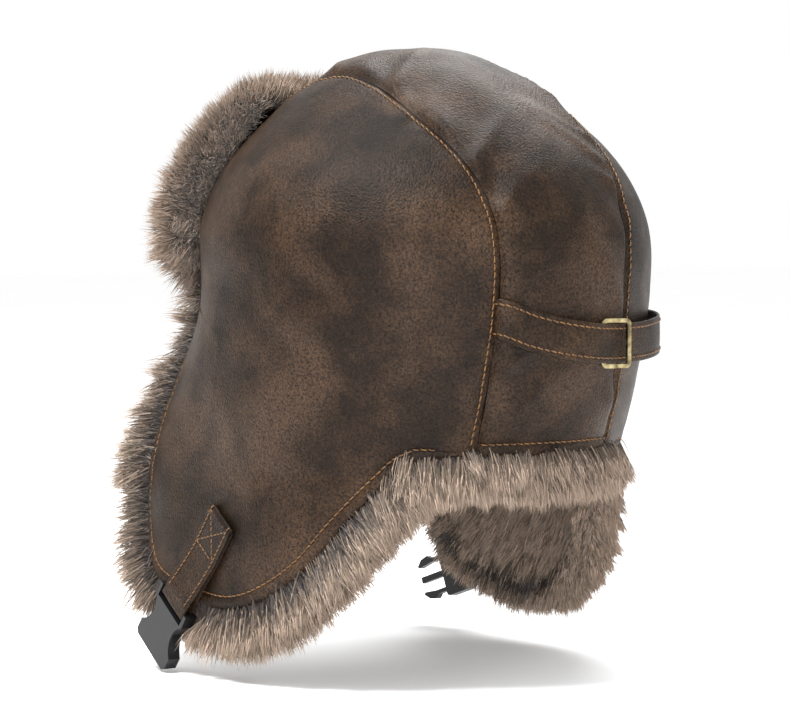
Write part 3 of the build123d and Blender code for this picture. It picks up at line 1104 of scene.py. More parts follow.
@dataclass
class CentrePanel:
    """The wide leather panel from the forehead over the top to the nape."""

    form: CrownForm
    wardrobe: Wardrobe
    rows: int = 300
    half_width: float = 0.0445
    near_seam: tuple[float, ...] = (0.0, 0.0009, 0.0018, 0.0028, 0.0042, 0.006, 0.0085, 0.0115, 0.015, 0.019)
    near_hem: tuple[float, ...] = (0.0012, 0.0024, 0.0036, 0.0048, 0.0056, 0.0062, 0.0070)

    def column(self, share: np.ndarray, turns: np.ndarray) -> np.ndarray:
        """Give the panel's points at shares of its width, at a turn from front to back.

        Args:
            share: from -1 at one seam to 1 at the other.
            turns: the turn of each, from the front over the top to the back.

        Returns:
            The points on the form.
        """
        heart = np.array(self.form.heart)
        x = share * 0.042
        way = np.stack([x * 0, -np.cos(turns), np.sin(turns)], axis=1)
        for _ in range(4):
            start = np.stack([x, np.full(len(x), heart[1]), np.full(len(x), heart[2])], axis=1)
            p = self.form.cast(start, way)
            x = share * self.form.seam(p[:, 2])
        return p

    def hem_turns(self, shares: np.ndarray) -> tuple[np.ndarray, np.ndarray]:
        """Find the turns at which each column of the panel meets the forehead hem and the nape hem.

        Args:
            shares: the place of each column across the panel.

        Returns:
            The turns at the forehead, and those at the nape.
        """
        found = []
        for start, end, level, rising in ((-0.2, 0.6, 0.080, True), (2.6, 4.1, 0.0092, False)):
            low, high = np.full(len(shares), start), np.full(len(shares), end)
            for _ in range(16):
                mid = (low + high) / 2
                above = self.column(shares, mid)[:, 2] > level
                past = above if rising else ~above
                high, low = np.where(past, mid, high), np.where(past, low, mid)
            found.append((low + high) / 2)
        return found[0], found[1]

    def shaped(self, p: np.ndarray, from_seam: np.ndarray, from_hem: np.ndarray, along: float) -> np.ndarray:
        """Raise and sink points as sewn leather lies.

        Args:
            p: one row of points across the panel.
            from_seam: how far each is from its seam.
            from_hem: how far each is from the nape hem.
            along: how far the row is along the seams.

        Returns:
            The shaped points.
        """
        out = self.form.normal(p)
        d, h = from_seam * 1000, from_hem * 1000
        groove = -1.8 * ridge(d, 0.0, 1.9)
        run = np.stack([along + from_seam * 0.7, from_seam * 0.22, np.sign(p[:, 0]) * 0.4], axis=1)
        ridges = 0.32 - np.abs(field_noise(run, 21.0, 2.0))
        pull = ridges * 7.0 * np.exp(-np.abs(d - 7) / 17.0) * np.clip(d / 3.5, 0, 1)
        roll = rolled_hem(h, 0.5)
        folds = field_noise(p, 42.0, 13.0) * 1.5 + field_noise(p, 17.0, 4.0) * 0.35
        calm = np.clip((h - 6) / 15, 0, 1)
        return p + out * ((groove + (pull + folds) * calm + roll) * MM)[:, None]

    def build(self) -> None:
        """Build the panel and the stitches along its nape hem."""
        half = 1 - np.array(self.near_seam) / self.half_width
        inner = np.linspace(-half[-1], half[-1], 22)[1:-1]
        shares = np.concatenate([-half, inner, half[::-1]])
        first, final = self.hem_turns(shares)
        grid = [self.column(shares, first + (final - first) * r) for r in np.linspace(0, 1, self.rows) ** 0.9]
        middle = len(shares) // 2
        last = grid[-1]
        climb = unit(grid[-4] - last)
        # Near the hem the even rows give way to closer ones, which carry its roll.
        keep = [g for g in grid if np.min(np.linalg.norm(g - last, axis=1)) > 0.0078]
        keep += [self.settle(last + climb * back) for back in self.near_hem[::-1]] + [last]
        rows = []
        from_seam = (1 - np.abs(shares)) * self.half_width
        for g in keep:
            from_hem = np.linalg.norm(g - last, axis=1)
            along = math.atan2(g[middle, 2] - 0.058, -g[middle, 1]) * 0.12
            rows.append(self.shaped(g, from_seam, from_hem, along))
        out = self.form.normal(last)
        rows.append(last - out * 0.0024 + climb * 0.0006)
        rows.append(last - out * 0.0030 + climb * 0.0050)
        faces = grid_faces(len(rows), len(shares))
        panel = make_mesh("crown_centre_leather", np.concatenate(rows), faces, [self.wardrobe.leather])
        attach(panel, "crown")
        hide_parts("crown_centre_panel", "crown_padding")
        line = self.settle(last + climb * 0.0060)
        normal = self.form.normal(line)
        inside = np.abs(shares) < 0.985
        run = ((line - normal * 0.0003)[inside], normal[inside])
        seam = Stitching().sew("nape_hem_stitches", [run], self.wardrobe.thread)
        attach(seam, "crown")
        LOG.info("centre panel: %d points", len(panel.data.vertices))

    def settle(self, p: np.ndarray) -> np.ndarray:
        """Put points that lie near the form back on it.

        Args:
            p: the points.

        Returns:
            The points on the form.
        """
        heart = np.tile(np.array(self.form.heart), (len(p), 1))
        heart[:, 0] = p[:, 0]
        return self.form.cast(heart, unit(p - heart))


@dataclass
class Lining:
    """The quilted cloth inside the crown."""

    form: CrownForm
    wardrobe: Wardrobe
    inset: float = 0.0085
    quilt: float = 0.026
    puff: float = 0.0016
    head: float = 0.095
    face_floor: float = 0.080
    floor: float = 0.002
    columns: int = 180
    rows: int = 70

    def build(self) -> None:
        """Build the lining as a dome with sewn diamonds, open below and at the face."""
        turns = np.linspace(0, math.tau, self.columns, endpoint=False)
        y = -np.cos(turns)
        heart = np.tile(np.array(self.form.heart), (self.columns, 1))
        floor = np.where(y < -0.62, self.face_floor, self.floor)
        lowest = np.arctan2(floor - self.form.heart[2], self.head)
        grid = []
        for r in range(self.rows):
            tilt = lowest + (math.radians(89.5) - lowest) * (1 - r / (self.rows - 1))
            way = np.stack([np.sin(turns) * np.cos(tilt), y * np.cos(tilt), np.sin(tilt)], axis=1)
            u, v = turns * self.head / self.quilt, tilt * self.head / self.quilt
            pillow = np.abs(np.sin(math.pi * (u + v))) ** 0.6 * np.abs(np.sin(math.pi * (u - v))) ** 0.6
            grid.append(self.form.cast(heart, way, self.inset) - way * (pillow * self.puff)[:, None])
        points = np.concatenate(grid)
        faces = grid_faces(self.rows, self.columns, wrap=True)
        piece = make_mesh("crown_quilted_lining", points, faces, [self.wardrobe.lining])
        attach(piece, "crown")
        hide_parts("crown_lining")
        LOG.info("lining: %d points", len(points))


# ---------------------------------------------------------------- fur edges
@dataclass
class FlapFur:
    """The fur that backs one ear flap and its cheek, and stands out all round the leather."""

    panel: SidePanel
    wardrobe: Wardrobe
    strap: "ChinStrap"
    fringe_length: float = 0.0225
    pile_length: float = 0.018
    beyond: float = 1.0
    # The backing's rim: how far inside the leather's edge, and how deep behind the leather.
    ground: tuple[tuple[float, float], ...] = (
        (0.010, 0.0030),
        (0.0, 0.0032),
        (-0.005, 0.0045),
        (-0.009, 0.0080),
        (-0.007, 0.0125),
        (0.0, 0.0140),
    )
    # The fringe's layers from the front: distance inside the edge, depth, lift and share of the length.
    layers: tuple[tuple[float, float, float, float], ...] = (
        (0.007, 0.0040, -0.04, 0.95),
        (0.004, 0.0038, 0.04, 1.0),
        (0.001, 0.0034, 0.30, 1.0),
        (-0.002, 0.0036, 0.60, 1.0),
        (-0.005, 0.0045, 0.48, 0.95),
        (-0.008, 0.0068, 0.28, 0.90),
        (-0.009, 0.0100, 0.02, 0.85),
        (-0.005, 0.0140, -0.40, 0.85),
    )
    layer_hairs: int = 4300
    pile_hairs: int = 26000

    def edge_frame(self, distance: float) -> tuple[np.ndarray, np.ndarray, np.ndarray]:
        """Give points a distance inside the edge, their outward directions and the way out past the edge.

        Args:
            distance: how far inside the edge, or below zero for how far past it.

        Returns:
            The points, their outward directions and the directions past the edge.
        """
        panel = self.panel
        p = panel.at(panel.turns, panel.row(max(distance, 0.0)))
        deeper = panel.flare(panel.at(panel.turns, panel.row(max(distance, 0.0) + 0.004)))
        out = panel.form.normal(p)
        p = panel.flare(p)
        past = unit(p - deeper)
        # Square to the edge, so that slanting lines comb straight outwards.
        along = unit(np.roll(panel.edge, -3, axis=0) - np.roll(panel.edge, 3, axis=0))
        past = unit(past - along * np.sum(past * along, axis=1)[:, None])
        if distance < 0:
            p = p - past * distance * self.beyond
        return p, out, past

    def fringe(self) -> None:
        """Grow the fringe past the hem, split where the flap folds."""
        rng = np.random.default_rng(11 + self.panel.side.value)
        y, z = self.panel.edge[:, 1], self.panel.edge[:, 2]
        hem = (self.panel.seam_share < 0.5) & (z < 0.081)
        hem &= (y < 0.072) & ~((z > 0.079) & (y > -0.079))
        places = np.flatnonzero(hem)
        roots, ways, bends, lengths = [], [], [], []
        count = self.layer_hairs
        for distance, depth, lift, share in self.layers:
            p, out, past = self.edge_frame(distance)
            i = rng.choice(places, count)
            j = (i + 1) % self.panel.around
            w = rng.random(count)[:, None]
            base = p[i] * (1 - w) + p[j] * w - out[i] * depth
            base = base + rng.normal(0, 0.0012, (count, 3))
            roots.append(base)
            # Where the edge faces forwards the fur is thicker and puffs outwards round the leather.
            forward = np.clip((-past[i][:, 1:2] - 0.35) / 0.5, 0, 1)
            forward = forward * np.clip((0.086 - base[:, 2:3]) / 0.02, 0, 1)
            forward = forward * (distance < 0.0015)
            ways.append(unit(past[i] + out[i] * (lift + 0.75 * forward) + rng.normal(0, 0.06, (count, 3))))
            bends.append(np.tile(-UP * 0.16, (count, 1)) - out[i] * 0.06)
            edge_length = self.fringe_length + max(distance, 0) * 0.3 + distance * 0.3 * (distance < 0)
            lengths.append(edge_length * share * (1 + 0.22 * forward[:, 0]))
        self.grow("fringe", *(np.concatenate(part) for part in (roots, ways, lengths, bends)))

    def grow(
        self,
        label: str,
        roots: np.ndarray,
        ways: np.ndarray,
        lengths: np.ndarray,
        bends: np.ndarray,
    ) -> None:
        """Grow fur and share it between the flap, the fold and the crown.

        Args:
            label: the last word of each piece's name.
            roots: where each hair starts.
            ways: the direction each hair leaves in.
            lengths: each hair's length.
            bends: the direction each hair bends towards, its size being how much.
        """
        word = self.panel.side.word
        high = (roots[:, 2] > FOLD_TOP) | (roots[:, 1] > NAPE_START)
        low = (roots[:, 2] < FOLD_FOOT) & ~high
        shares = ((f"{word}_flap", low, "flap"), ("", ~low & ~high, "fold"), ("crown", high, "cheek"))
        for body, mask, part in shares:
            if mask.sum() < 10:
                continue
            piece = Pile(self.wardrobe, seed=31 + self.panel.side.value).grow(
                f"{word}_{part}_{label}", roots[mask], ways[mask], lengths[mask], bends[mask], self.press
            )
            if body:
                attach(piece, body)
                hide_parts(f"{word}_{part}_fur")
            else:
                bend_at_fold(piece, self.panel.side)
            LOG.info("%s %s %s: %d hairs", word, part, label, mask.sum())

    def press(self, p: np.ndarray) -> np.ndarray:
        """Hold the fur down where the chin strap and the buckle lie on it.

        Args:
            p: points of hairs.

        Returns:
            The points, moved.
        """
        strap = self.strap
        down, away, cross = strap.axes()
        origin = np.array([strap.side.value * strap.face, strap.start[0], strap.start[1]])
        local = p - origin
        along, across, height = local @ down, local @ cross, local @ away
        under = np.clip((0.0185 - np.abs(across)) / 0.005, 0, 1) * np.clip((along - 0.018) / 0.006, 0, 1)
        under *= np.clip((strap.free + 0.062 - along) / 0.008, 0, 1)
        over = np.maximum(height + 0.0022, 0) * under
        return p - away * over[:, None]

    def inner_pile(self) -> None:
        """Grow the pile on the inner side of the flap and the cheek."""
        panel = self.panel
        rng = np.random.default_rng(17 + panel.side.value)
        distances = (0.0, 0.006, 0.012, 0.02, 0.03, 0.04, 0.055, 0.07)
        rows = [panel.at(panel.turns, panel.row(d)) for d in distances]
        points = np.concatenate(rows)
        quads = np.array(grid_faces(len(rows), panel.around, wrap=True))
        tris = np.concatenate([quads[:, [0, 1, 2]], quads[:, [0, 2, 3]]])
        heights = points[tris][:, :, 2].max(axis=1)
        backs = points[tris][:, :, 1].max(axis=1)
        tris = tris[(heights < 0.016) | ((heights < 0.078) & (backs < -0.062))]
        count = self.pile_hairs
        which, weights = share_out(points, tris, count, rng)
        base = np.einsum("ij,ijk->ik", weights, points[tris[which]])
        out = panel.form.normal(base)
        base = panel.flare(base)
        middle = np.array([panel.side.value * 0.095, -0.015, -0.004])
        past = base - middle
        past = past - out * np.sum(past * out, axis=1)[:, None]
        spread = np.clip(np.linalg.norm(past, axis=1) / 0.07, 0, 1)[:, None]
        ways = unit(-out * 0.62 + unit(past) * spread * 0.8 - UP * 0.55)
        roots = base - out * 0.0065
        lengths = np.full(count, self.pile_length)
        self.grow("pile", roots, ways, lengths, np.tile(-UP * 0.25, (count, 1)))

    def backing(self) -> None:
        """Build the knitted ground of the fur, which closes the flap behind the leather."""
        panel = self.panel
        word = panel.side.word
        rows = []
        for distance, depth in self.ground:
            p, out, _ = self.edge_frame(distance)
            rows.append(p - out * depth)
        for distance in (0.01, 0.02, 0.03, 0.045, 0.06, 0.075):
            p = panel.at(panel.turns, panel.row(distance))
            rows.append(panel.flare(p - panel.form.normal(p) * 0.0085))
        points = np.concatenate(rows)
        faces = np.array(grid_faces(len(rows), panel.around, wrap=True))
        tops = points[faces][:, :, 2]
        backs = points[faces][:, :, 1].max(axis=1)
        keep = (tops.max(axis=1) < 0.016) & (backs < 0.058) | ((tops.max(axis=1) < 0.079) & (backs < -0.055))
        piece = make_mesh(f"{word}_fur_backing", points, faces[keep].tolist(), [self.wardrobe.backing])
        bend_at_fold(piece, panel.side)

    def build(self) -> None:
        """Build the backing, the pile and the fringe."""
        self.backing()
        self.fringe()
        self.inner_pile()


@dataclass
class NapeFur:
    """The fur that hangs below the nape hem between the ear flaps."""

    form: CrownForm
    wardrobe: Wardrobe
    reach: float = 0.064
    hairs: int = 38000
    length: float = 0.0185
    hem: float = 0.0092
    # The backing strip: how far above the hem, and how deep behind the leather.
    ground: tuple[tuple[float, float], ...] = (
        (0.010, 0.004),
        (-0.002, 0.004),
        (-0.007, 0.006),
        (-0.009, 0.010),
        (-0.006, 0.014),
        (0.012, 0.015),
    )

    def build(self) -> None:
        """Build the backing strip and the hanging fur."""
        rng = np.random.default_rng(5)
        heart = np.array([0.0, self.form.heart[1], self.hem])
        turns = np.linspace(-self.reach / 0.088 * 1.02, self.reach / 0.088 * 1.02, 120)
        way = np.stack([np.sin(turns), np.cos(turns), turns * 0], axis=1)
        hem = self.form.cast(np.tile(heart, (len(turns), 1)), way)
        out = self.form.normal(hem)
        rows = []
        for rise, depth in self.ground:
            rows.append(hem - out * depth + UP * rise)
        faces = grid_faces(len(rows), len(turns))
        strip = make_mesh("nape_fur_backing", np.concatenate(rows), faces, [self.wardrobe.backing])
        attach(strip, "crown")
        n = self.hairs
        at = rng.uniform(0, len(turns) - 1.001, n)
        i = at.astype(int)
        w = (at - i)[:, None]
        base = hem[i] * (1 - w) + hem[i + 1] * w
        normal = unit(out[i] * (1 - w) + out[i + 1] * w)
        layer = rng.random(n)
        depth = 0.0028 + 0.0115 * layer**1.3
        drop = 0.006 - 0.013 * rng.random(n)
        roots = base - normal * depth[:, None] + UP * drop[:, None]
        lift = 0.85 - 1.25 * layer + 0.1 * rng.normal(0, 1, n)
        ways = unit(-UP + normal * lift[:, None])
        bends = np.tile(-UP * 0.2, (n, 1)) - normal * 0.05
        lengths = np.full(n, self.length)
        piece = Pile(self.wardrobe, seed=3).grow("nape_fur_fringe", roots, ways, lengths, bends)
        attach(piece, "crown")
        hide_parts("nape_fur")
        LOG.info("nape fur: %d hairs", n)


# ---------------------------------------------------------------- the visor
@dataclass
class Visor:
    """The fur visor, folded up against the forehead, with its leather back."""

    wardrobe: Wardrobe
    half_span: float = math.radians(44.5)
    face: tuple[tuple[float, float], ...] = (
        (0.1068, 0.0815),
        (0.1063, 0.1140),
        (0.0962, 0.1380),
        (0.0800, 0.1620),
        (0.0715, 0.1720),
    )
    ground: tuple[tuple[float, float], ...] = (
        (0.1075, 0.0935),
        (0.1130, 0.0960),
        (0.1165, 0.1050),
        (0.1160, 0.1160),
        (0.1095, 0.1360),
        (0.0970, 0.1530),
        (0.0855, 0.1630),
        (0.0770, 0.1665),
        (0.0725, 0.1660),
    )
    hairs: int = 54000
    rim_hairs: int = 12000
    length: float = 0.0180

    def swept(self, profile: np.ndarray, turn: np.ndarray) -> np.ndarray:
        """Turn a profile of radii and heights round the front of the hat.

        Args:
            profile: a radius and a height in each row.
            turn: the turn of each from the middle of the front.

        Returns:
            The points, drawn together at the visor's two ends.
        """
        close = np.cos(np.clip(np.abs(turn) / self.half_span, 0, 1) ** 7 * math.pi / 2.4)
        middle = np.array([0.1045, 0.127])
        r = middle[0] + (profile[:, 0] - middle[0]) * close
        z = middle[1] + (profile[:, 1] - middle[1]) * (0.35 + 0.65 * close)
        return np.stack([r * np.sin(turn), -r * np.cos(turn), z], axis=1)

    def build(self) -> None:
        """Build the leather back, the knitted ground and the fur."""
        turns = np.linspace(-self.half_span, self.half_span, 120)
        back = smooth_curve(np.array(self.face), 40)
        rows = [self.swept(back, np.full(len(back), t)) for t in turns]
        faces = grid_faces(len(rows), len(back))
        leather = make_mesh("visor_leather_back", np.concatenate(rows), faces, [self.wardrobe.leather])
        solid = leather.modifiers.new("thickness", "SOLIDIFY")
        solid.thickness = 0.0014
        solid.offset = 0
        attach(leather, "visor")
        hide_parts("visor_backing")
        ground = smooth_curve(np.array(self.ground), 48)
        rows = [self.swept(ground, np.full(len(ground), t)) for t in turns]
        points = np.concatenate(rows)
        quads = np.array(grid_faces(len(rows), len(ground)))
        pad = make_mesh("visor_pad", points, quads.tolist(), [self.wardrobe.backing])
        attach(pad, "visor")
        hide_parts("visor_padding")
        self.fur(points, quads)

    def rim(self, rng: np.random.Generator) -> tuple[np.ndarray, np.ndarray]:
        """Give roots and directions for the fur that wraps the visor's two ends and its upper edge.

        Args:
            rng: the seeded source.

        Returns:
            Where each hair starts, and the direction it leaves in.
        """
        n = self.rim_hairs
        sign = np.where(rng.random(n) < 0.5, -1.0, 1.0)
        turn = sign * (self.half_span * rng.uniform(0.95, 1.0, n))
        height = rng.uniform(0.095, 0.166, n)
        face = smooth_curve(np.array(self.face), 60)
        radius = np.interp(height, face[:, 1], face[:, 0]) + rng.uniform(-0.0005, 0.0085, n)
        outward = np.stack([np.sin(turn), -np.cos(turn), turn * 0], axis=1)
        around = np.stack([np.cos(turn), np.sin(turn), turn * 0], axis=1) * sign[:, None]
        ends = outward * radius[:, None] + UP * height[:, None]
        rise = UP * ((height - 0.118) * 8)[:, None]
        end_ways = unit(around * 0.85 + outward * rng.uniform(-1.05, 0.5, n)[:, None] + rise)
        turn = self.half_span * rng.uniform(-0.97, 0.97, n)
        outward = np.stack([np.sin(turn), -np.cos(turn), turn * 0], axis=1)
        tops = outward * rng.uniform(0.0710, 0.082, n)[:, None] + UP * 0.1655
        top_ways = unit(UP * 0.55 + outward * rng.uniform(-1.2, 0.4, n)[:, None])
        return np.concatenate([ends, tops]), np.concatenate([end_ways, top_ways])

    def fur(self, points: np.ndarray, quads: np.ndarray) -> None:
        """Grow the visor's fur in two pieces.

        Args:
            points: the points of the knitted ground.
            quads: its faces.
        """
        rng = np.random.default_rng(23)
        tris = np.concatenate([quads[:, [0, 1, 2]], quads[:, [0, 2, 3]]])
        which, weights = share_out(points, tris, self.hairs, rng)
        roots = np.einsum("ij,ijk->ik", weights, points[tris[which]])
        a, b, c = (points[tris[which][:, k]] for k in range(3))
        out = unit(np.cross(b - a, c - a))
        centre = np.stack([roots[:, 0] * 0.93, roots[:, 1] * 0.93, np.full(len(roots), 0.127)], axis=1)
        out = out * np.sign(np.sum(out * (roots - centre), axis=1))[:, None]
        turn = np.arctan2(roots[:, 0], -roots[:, 1])
        around = np.stack([np.cos(turn), np.sin(turn), turn * 0], axis=1)
        sideways = np.sign(turn) * np.clip(np.abs(turn) / self.half_span, 0, 1) ** 3
        height = (roots[:, 2] - 0.118) / 0.05
        flow = around * sideways[:, None] * 0.60 + UP * (0.30 * height + 0.06)[:, None]
        ways = unit(out * 0.85 + flow)
        ways[:, 2] = np.maximum(ways[:, 2], -0.30)
        lengths = self.length * (1 + 0.30 * np.clip((0.138 - roots[:, 2]) / 0.035, 0, 1))
        bends = flow * 0.25 - UP * 0.05
        rim_roots, rim_ways = self.rim(rng)
        roots, ways = np.concatenate([roots, rim_roots]), np.concatenate([ways, rim_ways])
        lengths = np.concatenate([lengths, np.full(len(rim_roots), 0.0165)])
        bends = np.concatenate([bends, np.tile(-UP * 0.05, (len(rim_roots), 1))])
        for label, mask in (("left", roots[:, 0] >= 0), ("right", roots[:, 0] < 0)):
            hairs = (part[mask] for part in (roots, ways, lengths, bends))
            piece = Pile(self.wardrobe, seed=41).grow(f"visor_fur_{label}", *hairs)
            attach(piece, "visor")
            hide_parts("visor_fur")
            LOG.info("visor fur %s: %d hairs", label, mask.sum())


# ---------------------------------------------------------------- straps
@dataclass
class Band:
    """A flat leather strap with rounded edges that follows a path."""

    width: float
    thickness: float
    wardrobe: Wardrobe

    def section(self) -> np.ndarray:
        """Give the strap's rounded section as offsets across and out.

        Returns:
            The offsets, all the way round.
        """
        w, t = self.width / 2, self.thickness / 2
        # From one edge to the middle of the top: a round edge, a dent along the stitches and a low crown.
        edge = ((1, 0), (0.985, 0.6), (0.94, 1))
        dent = ((0.80, 0.98), (0.70, 0.80), (0.60, 1.0))
        crest = ((0.3, 1.12), (0, 1.15))
        top = [(-w * across, t * out) for across, out in edge + dent + crest]
        top += [(-x, y) for x, y in reversed(top[:-1])]
        return np.array(top + [(x * 0.97, -abs(y)) for x, y in reversed(top[1:-1])])

    def mesh(self, name: str, path: np.ndarray, across: np.ndarray, out: np.ndarray) -> bpy.types.Object:
        """Sweep the section along the path.

        Args:
            name: the piece's name.
            path: the strap's middle line.
            across: the direction across the strap at each point.
            out: the outward direction at each point.

        Returns:
            The strap.
        """
        section = self.section()
        rows = [p + a * section[:, :1] + o * section[:, 1:] for p, a, o in zip(path, across, out)]
        count = len(section)
        faces = grid_faces(len(rows), count, wrap=True)
        faces.append(tuple(range(count))[::-1])
        faces.append(tuple(range((len(rows) - 1) * count, len(rows) * count)))
        return make_mesh(name, np.concatenate(rows), faces, [self.wardrobe.leather])


@dataclass
class RearStrap:
    """The adjuster strap across the back, and the brass slider on it."""

    wardrobe: Wardrobe
    turn: float = math.radians(103.0)
    radius: float = 0.1072
    level: float = 0.0585
    start_level: float = 0.0705
    width: float = 0.0176

    def route(self) -> tuple[np.ndarray, np.ndarray, np.ndarray]:
        """Give the strap's middle line, its up direction and its outward direction.

        Returns:
            The three, one row for each point along the strap.
        """
        normal = np.array([math.cos(self.turn), math.sin(self.turn), 0])
        along = np.array([-math.sin(self.turn), math.cos(self.turn), 0])
        near, far = normal * self.radius - along * 0.0155, normal * self.radius + along * 0.0155
        stops = np.array(
            [
                (0.0372, 0.0935, self.start_level),
                (0.0366, 0.0978, self.start_level - 0.0003),
                (0.0240, 0.1028, 0.0653),
                (near[0], near[1], self.level + 0.0007),
                (normal[0] * self.radius, normal[1] * self.radius, self.level),
                (far[0], far[1], self.level + 0.0002),
                (-0.0650, 0.0870, self.level + 0.0020),
                (-0.0808, 0.0694, self.level + 0.0034),
                (-0.0924, 0.0480, self.level + 0.0043),
            ]
        )
        path = smooth_curve(stops, 150)
        forward = unit(np.gradient(path, axis=0))
        flat = unit(forward * np.array([1, 1, 0]))
        out = np.cross(flat, UP) * -1
        out = out * np.sign(np.sum(out * path, axis=1))[:, None]
        up = unit(np.cross(out, forward))
        up = up * np.sign(up[:, 2])[:, None]
        return path, up, out

    def build(self) -> None:
        """Build the strap, its stitches and the slider's finish."""
        path, up, out = self.route()
        band = Band(self.width, 0.0016, self.wardrobe).mesh("rear_strap_leather", path, up, out)
        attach(band, "crown")
        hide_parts("rear_adjuster_strap")
        lines = [(path + up * sign * self.width * 0.37 + out * 0.0008, out) for sign in (1, -1)]
        seam = Stitching().sew("rear_strap_stitches", lines, self.wardrobe.thread)
        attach(seam, "crown")
        dress("rear_slider", self.wardrobe.brass)
        LOG.info("rear strap built")


@dataclass
class ChinStrap:
    """One chin strap: doubled leather, sewn to the flap with a box and cross and looped round a buckle bar."""

    side: Side
    wardrobe: Wardrobe
    lean: float
    start: tuple[float, float]
    free: float = 0.028
    face: float = 0.09805
    width: float = 0.020
    thickness: float = 0.00125
    rise: float = math.radians(4.7)
    loop: float = 2.45

    def axes(self) -> tuple[np.ndarray, np.ndarray, np.ndarray]:
        """Give the directions along the strap, away from the flap, and across.

        Returns:
            The three directions.
        """
        down = np.array([0.0, -math.sin(self.lean), -math.cos(self.lean)])
        away = np.array([float(self.side.value), 0.0, 0.0])
        return down, away, np.cross(down, away)

    def place(self, along: np.ndarray, out: np.ndarray) -> np.ndarray:
        """Give points from distances along the strap and out from the flap, in millimetres.

        Args:
            along: distances along the strap.
            out: distances out from the flap.

        Returns:
            The points.
        """
        down, away, _ = self.axes()
        origin = np.array([self.side.value * self.face, self.start[0], self.start[1]])
        return origin + np.outer(along * MM, down) + np.outer(out * MM, away)

    def build(self) -> None:
        """Build the strap and its stitches."""
        word = self.side.word
        reach = self.free / MM * math.cos(self.rise)
        bar = (25 + reach, 1.7 + self.free / MM * math.sin(self.rise))
        turns = np.radians(np.arange(-20, 201, 20))
        loop = [(bar[0] + self.loop * math.sin(a), bar[1] + self.loop * math.cos(a)) for a in turns]
        route = [(-0.6, 1.3), (0.3, 1.9), (6, 1.95), (14, 1.95), (22, 2.0), (30, 2.9)]
        route += [(25 + reach * 0.54, bar[1] * 0.55 + 2.3), (bar[0] - 4.9, bar[1] + 2.0)] + loop
        route += [(bar[0] - 4.9, bar[1] - 2.3), (25 + reach * 0.54, bar[1] * 0.3 + 1.0)]
        route += [(30, 1.5), (22, 0.75), (12, 0.62), (1, 0.6)]
        flat = smooth_curve(np.array(route), 150)
        path = self.place(flat[:, 0], flat[:, 1])
        forward = unit(np.gradient(path, axis=0))
        _, _, cross = self.axes()
        across = np.tile(cross, (len(path), 1))
        out = unit(np.cross(across, forward))
        out = out * np.sign(out[10] @ np.array([self.side.value, 0, 0]))
        band = Band(self.width, self.thickness, self.wardrobe)
        strap = band.mesh(f"{word}_chin_strap_leather", path, across, out)
        top = flat[:, 1] > 1.2
        upper = np.flatnonzero(top & (np.arange(len(flat)) < 95) & (flat[:, 0] < bar[0] - 4.4))
        lines = []
        for sign in (1, -1):
            edge = path[upper] + across[upper] * sign * self.width * 0.38
            lines.append((edge + out[upper] * self.thickness * 0.45, out[upper]))
        lines += self.box_and_cross(out[upper][5])
        stitch = Stitching(pitch=0.0026, length=0.0023, radius=0.00031)
        seam = stitch.sew(f"{word}_chin_strap_stitches", lines, self.wardrobe.thread)
        hinge = self.place(np.array([21.0, 29.0]), np.array([1.7, 1.7]))
        for piece in (strap, seam):
            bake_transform(piece)
        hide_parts(f"{word}_strap_anchor", f"{word}_chin_strap")
        LOG.info("%s chin strap built", word)

    def box_and_cross(self, out: np.ndarray) -> list[tuple[np.ndarray, np.ndarray]]:
        """Give the ends and the cross of the sewn box.

        Args:
            out: the outward direction of the sewn patch.

        Returns:
            Each line's points and outward directions.
        """
        _, _, cross = self.axes()
        w = self.width * 0.38
        top, foot = self.place(np.array([1.8, 20.5]), np.array([2.52, 2.52]))
        ends = (
            (top + cross * w, top - cross * w),
            (foot + cross * w, foot - cross * w),
            (top + cross * w, foot - cross * w),
            (top - cross * w, foot + cross * w),
        )
        return [(np.linspace(a, b, 20), np.tile(out, (20, 1))) for a, b in ends]


def dress(node: str, material: bpy.types.Material, bevel: float = 0.0003) -> None:
    """Give a CAD piece that keeps its shape its finish and softened edges.

    Args:
        node: its name.
        material: its finish.
        bevel: how wide its softened edges are.
    """
    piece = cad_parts[node]
    if not piece.material_slots:
        piece.data.materials.append(material)
    for place in piece.material_slots:
        place.material = material
    soften = piece.modifiers.new("softened_edges", "BEVEL")
    soften.width = bevel
    soften.segments = 2
    soften.limit_method = "ANGLE"
    soften.angle_limit = math.radians(40)


@dataclass
class Buckle:
    """The side release buckle: a socket on the left strap, and a plug with two sprung arms on the right."""

    wardrobe: Wardrobe

    def build(self) -> None:
        """Give the moulded pieces their finish."""
        for node in ("left_buckle_socket", "right_buckle_plug", "plug_arm_upper", "plug_arm_lower"):
            dress(node, self.wardrobe.plastic)
        LOG.info("buckle dressed")


